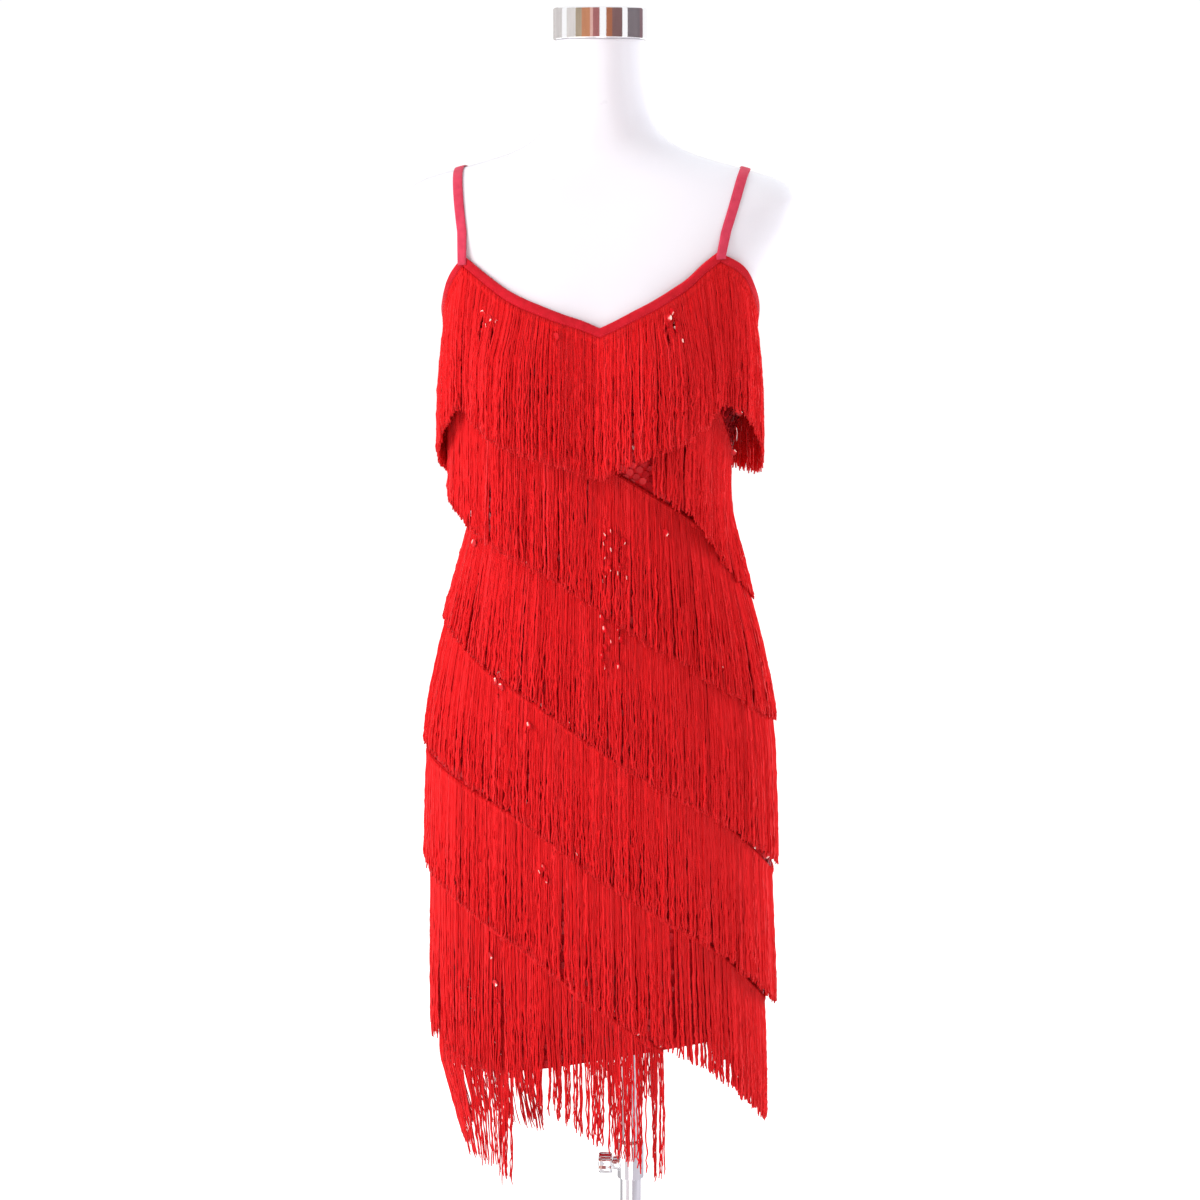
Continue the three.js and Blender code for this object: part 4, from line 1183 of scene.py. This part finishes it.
# %% Swept tapes
def swept_mesh(rings, closed):
    """Points and faces of a section swept through stations, with flat ends unless it is closed."""
    stations, corners = rings.shape[:2]
    points = rings.reshape(-1, 3)
    faces = grid_faces(stations, corners, closed=True)
    if closed:
        last = (stations - 1) * corners
        for k in range(corners):
            n = (k + 1) % corners
            faces.append((last + k, last + n, n, k))
    else:
        faces.append(tuple(range(corners))[::-1])
        faces.append(tuple(range((stations - 1) * corners, stations * corners)))
    return points, looking_out(points, faces)


def tape_rings(turns, top_z, section):
    down, out = np.array(section, float).T
    return on_cloth(turns[:, None], top_z[:, None] - down[None, :], out[None, :])


def tape_piece(name, turns, top_z, section, finish, closed=False, along_name="along"):
    rings = tape_rings(turns, top_z, section)
    points, faces = swept_mesh(rings, closed)
    piece = make_piece(name, points, faces, finish)
    piece.data.set_sharp_from_angle(angle=math.radians(60))
    steps = np.linalg.norm(np.diff(rings[:, 0], axis=0), axis=1)
    along = np.concatenate([[0], np.cumsum(steps)])
    if along_name == "along":
        store(piece, "along", np.repeat(along, len(section)))
    else:
        store(piece, along_name, np.tile([down for down, _ in section], len(turns)))
    return piece


# %% Stitches
def stitch_mesh(starts, ends, outs, radius):
    """Each stitch is a small double-ended spindle between two points."""
    middles = (starts + ends) / 2
    way = ends - starts
    side = np.cross(way, outs)
    side /= np.linalg.norm(side, axis=-1, keepdims=True)
    points = np.stack(
        [starts, middles + side * radius, middles + outs * radius, middles - side * radius,
         middles - outs * radius, ends],
        axis=1,
    )
    pattern = [(0, 1, 2), (0, 2, 3), (0, 3, 4), (0, 4, 1), (5, 2, 1), (5, 3, 2), (5, 4, 3), (5, 1, 4)]
    first = np.arange(len(starts))[:, None, None] * 6
    faces = (first + np.array(pattern)[None]).reshape(-1, 3).tolist()
    points = points.reshape(-1, 3)
    return points, looking_out(points, faces)


def stitches_along(turns, heights, lift, share, radius):
    """One stitch for each step of a line. Its share is how much of the step it covers."""
    path = on_cloth(turns, heights, lift)
    _, _, outs = surface_frame((turns[1:] + turns[:-1]) / 2, (heights[1:] + heights[:-1]) / 2)
    starts = path[:-1] + (path[1:] - path[:-1]) * (1 - share) / 2
    ends = path[1:] - (path[1:] - path[:-1]) * (1 - share) / 2
    return stitch_mesh(starts, ends, outs, radius)


# %% Bindings
# The section folds over the cloth's edge and reaches down over the neck fringe's header.
BINDING_SECTION = [
    (-0.9, -0.9), (-1.3, 0.2), (-0.9, 1.7), (0.2, 2.6), (2.0, 2.9), (5.0, 3.0),
    (7.4, 2.9), (8.3, 2.3), (7.8, 1.2), (5.0, 0.6), (0.0, 0.5), (-0.2, -0.6),
]
STITCH_DOWN = 6.4
BINDINGS = {
    "neck": (STRAP_FRONT_TURN["left"], STRAP_FRONT_TURN["right"]),
    "armhole_right": (STRAP_FRONT_TURN["right"], STRAP_BACK_TURN["right"]),
    "back": (STRAP_BACK_TURN["right"], STRAP_BACK_TURN["left"] + 360),
    "armhole_left": (STRAP_BACK_TURN["left"], STRAP_FRONT_TURN["left"]),
}
trim_pieces = []
for binding_name, (first, last) in BINDINGS.items():
    binding_turns, binding_length = even_turns(first + 0.2, last - 0.2, top_edge, 3.5)
    binding = tape_piece(
        "edge_" + binding_name,
        binding_turns,
        top_edge(binding_turns),
        BINDING_SECTION,
        binding_elastic.material,
        along_name="rib",
    )
    put_on(binding, "form", "trim", "binding_" + binding_name)
    stitch_turns, _ = even_turns(first + 1, last - 1, top_edge, 3.0)
    stitch_heights = top_edge(stitch_turns) - STITCH_DOWN
    stitch_points, stitch_faces = stitches_along(stitch_turns, stitch_heights, 3.0, 0.6, 0.22)
    stitches = make_piece("stitches_" + binding_name, stitch_points, stitch_faces, thread.material)
    put_on(stitches, "form", "trim")
    trim_pieces += [binding, stitches]
    print(binding_name, "binding is", round(binding_length), "mm long")

# %% [markdown]
# ## Straps
#
# Each strap is a flat elastic that is sewn to a point of the top edge, runs up over the shoulder
# and down to the back. It lies on the form, so its path is where a fan of lines from inside the
# shoulder leaves the form's surface. Halving finds those places for all lines at once.

# %% Strap paths
STRAP_WIDTH = 10.0
STRAP_LIFT = 0.8
STRAP_STEPS = 60
STRAP_SEWN = 3.0
STRAP_MIDDLE_Z = 1334.0
STRAP_FIRST_ANGLE = math.radians(4)
STRAP_LAST_ANGLE = math.radians(213)
# A strap's distance from the form's middle in front, over the shoulder and behind.
STRAP_X = {"left": (134.5, 143.0, 93.0), "right": (128.8, 147.0, 93.0)}


def leaves_form(starts, ways):
    """Where lines from inside the shoulder leave the form."""
    near, far = np.zeros(len(starts)), np.full(len(starts), 200.0)
    for _ in range(30):
        middle = (near + far) / 2
        p = starts + ways * middle[:, None]
        away_x = p[:, 0] - FORM_X - SECTION_TRACKS["mid_x"](p[:, 2])
        away_y = p[:, 1] - SECTION_TRACKS["mid_y"](p[:, 2])
        turn = np.degrees(np.arctan2(away_x, -away_y))
        inside = np.hypot(away_x, away_y) < body_radius(turn, p[:, 2]) - EASE
        near, far = np.where(inside, middle, near), np.where(inside, far, middle)
    return starts + ways * far[:, None]


def turn_across(turn, length):
    """How many degrees of turn a length takes up along the cloth's top edge."""
    z = top_edge(turn)
    near = on_cloth(np.array([turn - 0.5, turn + 0.5]), z)
    return length / np.linalg.norm(near[1] - near[0])


def strap_edge(name, side, edge):
    """One edge of a strap: -1 is the edge towards the neck and 1 the edge towards the arm."""
    half = side * edge * STRAP_WIDTH / 2
    front_turn = STRAP_FRONT_TURN[name] + turn_across(STRAP_FRONT_TURN[name], half)
    back_turn = STRAP_BACK_TURN[name] - turn_across(STRAP_BACK_TURN[name], half)
    sewn = np.array([STRAP_SEWN, 0.0])
    front = on_cloth(front_turn, top_edge(front_turn) - sewn, 3.1)
    back = on_cloth(back_turn, top_edge(back_turn) - sewn[::-1], 3.1)
    angles = np.linspace(STRAP_FIRST_ANGLE, STRAP_LAST_ANGLE, STRAP_STEPS)
    ways = np.column_stack([np.zeros(STRAP_STEPS), -np.cos(angles), np.sin(angles)])
    front_x, top_x, back_x = STRAP_X[name]
    in_front = angles < math.pi / 2
    end_x = np.where(in_front, front_x, back_x)
    end_angle = np.where(in_front, STRAP_FIRST_ANGLE, STRAP_LAST_ANGLE)
    share = (1 - np.sin(angles)) / (1 - np.sin(end_angle))
    x = FORM_X + side * (top_x + (end_x - top_x) * share) + half
    starts = np.column_stack([x, np.zeros(STRAP_STEPS), np.full(STRAP_STEPS, STRAP_MIDDLE_Z)])
    crossing = leaves_form(starts, ways) + ways * STRAP_LIFT
    return np.concatenate([front, crossing, back])


# %% Strap pieces
STRAP_SECTION = [
    (0.0, 0.45), (0.06, 0.05), (0.5, 0.0), (0.94, 0.05),
    (1.0, 0.45), (0.94, 1.3), (0.75, 1.45), (0.5, 1.5), (0.25, 1.45), (0.06, 1.3),
]
for side_name, side in (("left", -1), ("right", 1)):
    neck_side, arm_side = strap_edge(side_name, side, -1), strap_edge(side_name, side, 1)
    along = np.gradient(neck_side, axis=0) + np.gradient(arm_side, axis=0)
    raised = np.cross(arm_side - neck_side, along) * side
    raised /= np.linalg.norm(raised, axis=-1, keepdims=True)
    strap_rings = np.stack(
        [neck_side + (arm_side - neck_side) * u + raised * v for u, v in STRAP_SECTION], axis=1
    )
    strap_points, strap_faces = swept_mesh(strap_rings, closed=False)
    strap = make_piece("shoulder_strap_" + side_name, strap_points, strap_faces, strap_elastic.material)
    store(strap, "rib", np.tile([u * STRAP_WIDTH for u, _ in STRAP_SECTION], len(strap_rings)))
    put_on(strap, "form", "trim", "strap_" + side_name)
    trim_pieces.append(strap)
    print(side_name, "strap is", round(length_of((neck_side + arm_side) / 2)), "mm long")

# %% [markdown]
# ## Rows of fringe
#
# A row is a header with cords. The cords hang straight down from the slanting header, clear of
# the cloth, and rest on whatever stands out furthest above them: bust or hips. Each row has the
# numbers a dressmaker would give: where it runs, how closely the cords hang and how thick they
# are. The rest says how far the tips stand off, how freely they hang past a hollow, how far they
# swing in below the hem, how strongly the cords clump, and how uneven their ends are. The cords
# are trimmed to end on the next row's header, so their length changes round the dress.

# %% Table of rows
HEADER_HEIGHT = 9.0
HEADER_LIFT = 1.2
ROW_COLUMNS = ("first", "last", "per_mm", "thick", "stand", "free", "lean", "bow", "clump", "ragged")
ROWS = {
    "neck": (3, 363, 1.08, 1.17, 9, 1, 0, 3, 0.10, 0.012),
    "bust": (28, 158, 1.0, 1.17, 5.2, 0.55, 0, 1.2, 0.12, 0.014),
    "waist": (-180, 180, 1.0, 1.17, 4.6, 0.9, 0, 1.2, 0.12, 0.012),
    "high_hip": (-180, 180, 1.0, 1.17, 4.6, 0.8, 0, 1.2, 0.12, 0.012),
    "hip": (-180, 180, 0.96, 1.19, 4.4, 1, 0, 1.2, 0.14, 0.012),
    "thigh": (-180, 180, 0.92, 1.2, 4.4, 1, 0.02, 1.2, 0.16, 0.016),
    "low": (-205, 32, 0.72, 0.92, 4, 1, 0.03, 1.2, 0.35, 0.025),
    "corner": (-140, -40, 0.72, 0.84, 3, 1, 0.28, 1.2, 0.3, 0.025),
}
# How far the cords reach down from the header's upper edge, at the same six turns as the lines.
DROPS = {
    "neck": line_round(141, 141, 141, 141, 141, 141),
    "bust": line_round(145, 145, 145, 145, 145, 145),
    "waist": line_round(147, 158, 150, 159, 165, 147),
    "high_hip": line_round(100, 130, 146, 148, 156, 145),
    "hip": line_round(136, 129, 137, 143, 143, 136),
    "thigh": line_round(116, 133, 144, 138, 134, 136),
    "low": line_round(186, 160, 146, 137, 137, 150),
    "corner": line_round(190, 167, 158, 158, 158, 150),
}
# Stretches where cords are missing, as turns from and to, and the share that is left.
THIN_STRETCHES = {
    "thigh": [(34, 60, 0.62)],
    "low": [(-12, 1, 0.5), (18, 27, 0.55)],
    "corner": [(-64, -46, 0.5)],
}

# %% Headers
HEADER_SECTION = [(0.0, 1.5), (0.3, 2.2), (4.5, 2.4), (8.7, 2.3), (9.0, 1.8), (8.6, 1.2), (4.5, 1.1), (0.4, 1.2)]


def header_piece(name, row):
    closed = row["last"] - row["first"] >= 360
    turns, length = even_turns(row["first"], row["last"], row["line"], 6.0)
    if closed:
        turns = turns[:-1]
    piece = tape_piece("header_" + name, turns, row["line"](turns), HEADER_SECTION, header_tape.material, closed)
    print(name, "header is", round(length), "mm long")
    return piece


fringe_rows = {
    name: {"name": name, "line": ROW_LINES[name], "drop": DROPS[name], **dict(zip(ROW_COLUMNS, values))}
    for name, values in ROWS.items()
}
for row_name, row in fringe_rows.items():
    put_on(header_piece(row_name, row), "form", "fringe")

# %% [markdown]
# ## Cords
#
# The cords are the dress. There are too many for curves or a hair system that must be realized
# and exported, so each one is a three-sided tube with smooth shading, and a whole row is one
# mesh. All cords of a row are worked out together as arrays: a line of stations for each cord,
# first hanging as on the solid, then moved by what real fringe does. Neighbours draw together
# into locks and leave partings between them, single cords stray, every cord keeps kinks from its
# chain, and the cut ends are uneven. All of it grows from nothing at the header to its most at
# the tips, which is why a row looks smooth above and ragged below.

# %% Hanging line of a cord
CORD_STATIONS = 23
HEADER_STATIONS = 2


def hang_radius(turn, z, free):
    """How far out a cord hangs at each station: as far as the widest place it has passed."""
    here = body_radius(turn, np.maximum(z, hem_height(turn)))
    widest = np.maximum.accumulate(here, axis=1)
    return here + (widest - here) * free


def run_down(turn, z):
    """Follows the body's steepest way down, as a weight on a string does, station by station."""
    turns = [turn[:, 0]]
    step = 1.0
    for k in range(1, z.shape[1]):
        at, low = turns[-1], np.maximum(z[:, k], hem_height(turns[-1]))
        here = body_radius(at, low)
        growth = np.maximum(0, here - body_radius(at, np.maximum(z[:, k - 1], low)))
        around = (body_radius(at + step, low) - body_radius(at - step, low)) / math.radians(2 * step)
        turns.append(at - np.degrees(growth * around / (here**2 + around**2)))
    return np.stack(turns, axis=1)


def drawn_together(places, spacing, pull, ways):
    """How far each place moves towards the middle of its own clump of cords."""
    count = max(2, int((places[-1] - places[0]) / spacing))
    middles = np.sort(ways.uniform(places[0], places[-1], count))
    pulls = ways.uniform(0.3, 1.0, count) * pull
    nearest = np.abs(places[:, None] - middles[None, :]).argmin(axis=1)
    return (middles[nearest] - places) * pulls[nearest]


def small_openings(places, share, ways):
    """Short slits that open between neighbouring cords and close again."""
    push = np.zeros((len(places), share.shape[1]))
    for _ in range(len(places) // 16):
        middle = ways.uniform(places[0], places[-1])
        first, length, half_width = ways.uniform((0.1, 0.2, 0.2), (0.8, 0.6, 0.9))
        away = (places - middle)[:, None]
        opening = np.sin(np.pi * np.clip((share - first) / length, 0, 1))
        push += np.sign(away) * half_width * opening * np.exp(-np.abs(away) / 4)
    return push


def cord_rows(row, ways):
    """Turn, height and radius of every station of every cord in a row."""
    fine, length = even_turns(row["first"], row["last"], row["line"], 1.0)
    count = int(length * row["per_mm"])
    places = np.linspace(0.5, length - 0.5, count) + ways.normal(0, 0.4, count)
    places = np.sort(np.clip(places, 0, length))
    turn = np.interp(places, np.linspace(0, length, len(fine)), fine)[:, None]
    left = np.ones(count)
    for first, last, share_left in THIN_STRETCHES.get(row["name"], []):
        left = np.where((turn[:, 0] > first) & (turn[:, 0] < last), share_left, left)
    kept = ways.random(count) < left
    turn, places, count = turn[kept], places[kept], int(kept.sum())
    share = np.linspace(0, 1, CORD_STATIONS - HEADER_STATIONS)[None, :]
    uneven = ways.normal(0, row["ragged"], count) - 3.5 * row["ragged"] * ways.random(count) ** 4
    root_z = row["line"](turn) - HEADER_HEIGHT
    z = root_z - (row["drop"](turn) - HEADER_HEIGHT) * (1 + uneven[:, None]) * share
    z[:, 1:-1] += ways.normal(0, 1.3, z[:, 1:-1].shape)
    turns = run_down(turn, z)
    clumped = drawn_together(places, 14.0, row["clump"], ways) + drawn_together(places, 5.0, 0.3, ways)
    sideways = clumped[:, None] * share**1.2 + ways.normal(0, 1.2, (count, 1)) * share**1.5
    sideways = sideways + small_openings(places, share, ways)
    kink = 0.2 + 0.5 * share
    sideways = sideways + kink * ways.normal(0, 1, z.shape)
    depth = ways.uniform(-0.6, 1.6, (count, 1)) * (0.2 + 0.8 * share)
    depth = depth + 0.6 * kink * ways.normal(0, 1, z.shape)
    below_hem = np.maximum(0, hem_height(turn) - z)
    rise = 1 - (1 - share) ** row["bow"]
    lean = row["lean"] * np.clip((np.abs(turn) - 42) / 36, 0.1, 1)
    lift = CLOTH + HEADER_LIFT + (row["stand"] - HEADER_LIFT) * rise - lean * below_hem
    radius = hang_radius(turns, z, row["free"]) + lift + 0.9 + depth
    sideways = sideways + parted(turns, z, radius)
    moved_turn = turns + np.degrees(sideways / radius)
    over_z = row["line"](turn) - np.array([[0.6, 5.0]])
    over_turn = np.broadcast_to(turn, over_z.shape)
    over_radius = body_radius(over_turn, over_z) + crease_rise(over_turn, over_z) + CLOTH + 2.9
    over_radius = over_radius + np.array([[-0.5, 0.0]])
    return (
        np.concatenate([over_turn, moved_turn], axis=1),
        np.concatenate([over_z, z], axis=1),
        np.concatenate([over_radius, radius], axis=1),
    )


# %% Tubes for all cords of a row
def cord_mesh(turn, z, radius, thick, ways):
    """Three-sided tubes through the stations, thinner at their first station and at their looped tips."""
    count, stations = turn.shape
    centre = point_at(turn, z, radius)
    round_way = np.stack([np.cos(np.radians(turn)), np.sin(np.radians(turn)), np.zeros_like(turn)], -1)
    out_way = np.stack([np.sin(np.radians(turn)), -np.cos(np.radians(turn)), np.zeros_like(turn)], -1)
    thickness = thick * ways.uniform(0.88, 1.1, (count, 1)) * ways.uniform(0.84, 1.16, turn.shape)
    thickness[:, 0] *= 0.6
    thickness[:, -1] *= 0.75
    first_angle = ways.uniform(0, 2 * np.pi, (count, 1))
    corners = []
    for k in range(3):
        angle = first_angle + 2 * np.pi * k / 3
        across = (thickness * np.cos(angle))[..., None] * round_way
        outward = (thickness * np.sin(angle))[..., None] * out_way
        corners.append(centre + across + outward)
    points = np.stack(corners, axis=2).reshape(-1, 3)
    cord_start = (np.arange(count) * stations * 3)[:, None, None]
    station = (np.arange(stations - 1) * 3)[None, :, None]
    corner = np.arange(3)[None, None, :]
    following = (corner + 1) % 3
    base = cord_start + station
    quads = np.stack([base + corner, base + following, base + 3 + following, base + 3 + corner], -1)
    first = cord_start[:, 0, 0]
    tips = first + (stations - 1) * 3
    faces = quads.reshape(-1, 4).tolist()
    faces += np.stack([first + 2, first + 1, first], -1).tolist()
    faces += np.stack([tips, tips + 1, tips + 2], -1).tolist()
    return points, looking_out(points, faces)


# %% Cords on every row
for number, (row_name, row) in enumerate(fringe_rows.items()):
    ways = np.random.default_rng(40 + number)
    turn, z, radius = cord_rows(row, ways)
    cord_points, cord_faces = cord_mesh(turn, z, radius, row["thick"], ways)
    cords = make_piece("cords_" + row_name, cord_points, cord_faces, cord.material)
    count, stations = turn.shape
    own_shade = np.clip(ways.normal(0.45, 0.17, (count, 1)), 0, 0.8) * np.ones((1, stations))
    store(cords, "shade", np.repeat(own_shade.ravel(), 3))
    store(cords, "along", np.repeat((z[:, :1] - z).ravel(), 3))
    put_on(cords, "form", "fringe", "fringe_" + row_name)
    print(row_name, "row has", count, "cords")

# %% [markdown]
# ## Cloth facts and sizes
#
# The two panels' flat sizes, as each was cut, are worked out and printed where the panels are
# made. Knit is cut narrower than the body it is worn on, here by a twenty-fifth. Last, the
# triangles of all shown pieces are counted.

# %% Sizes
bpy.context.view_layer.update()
all_triangles = sum(triangle_count(piece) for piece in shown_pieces() if piece.type == "MESH")
print("triangles in all:", all_triangles)
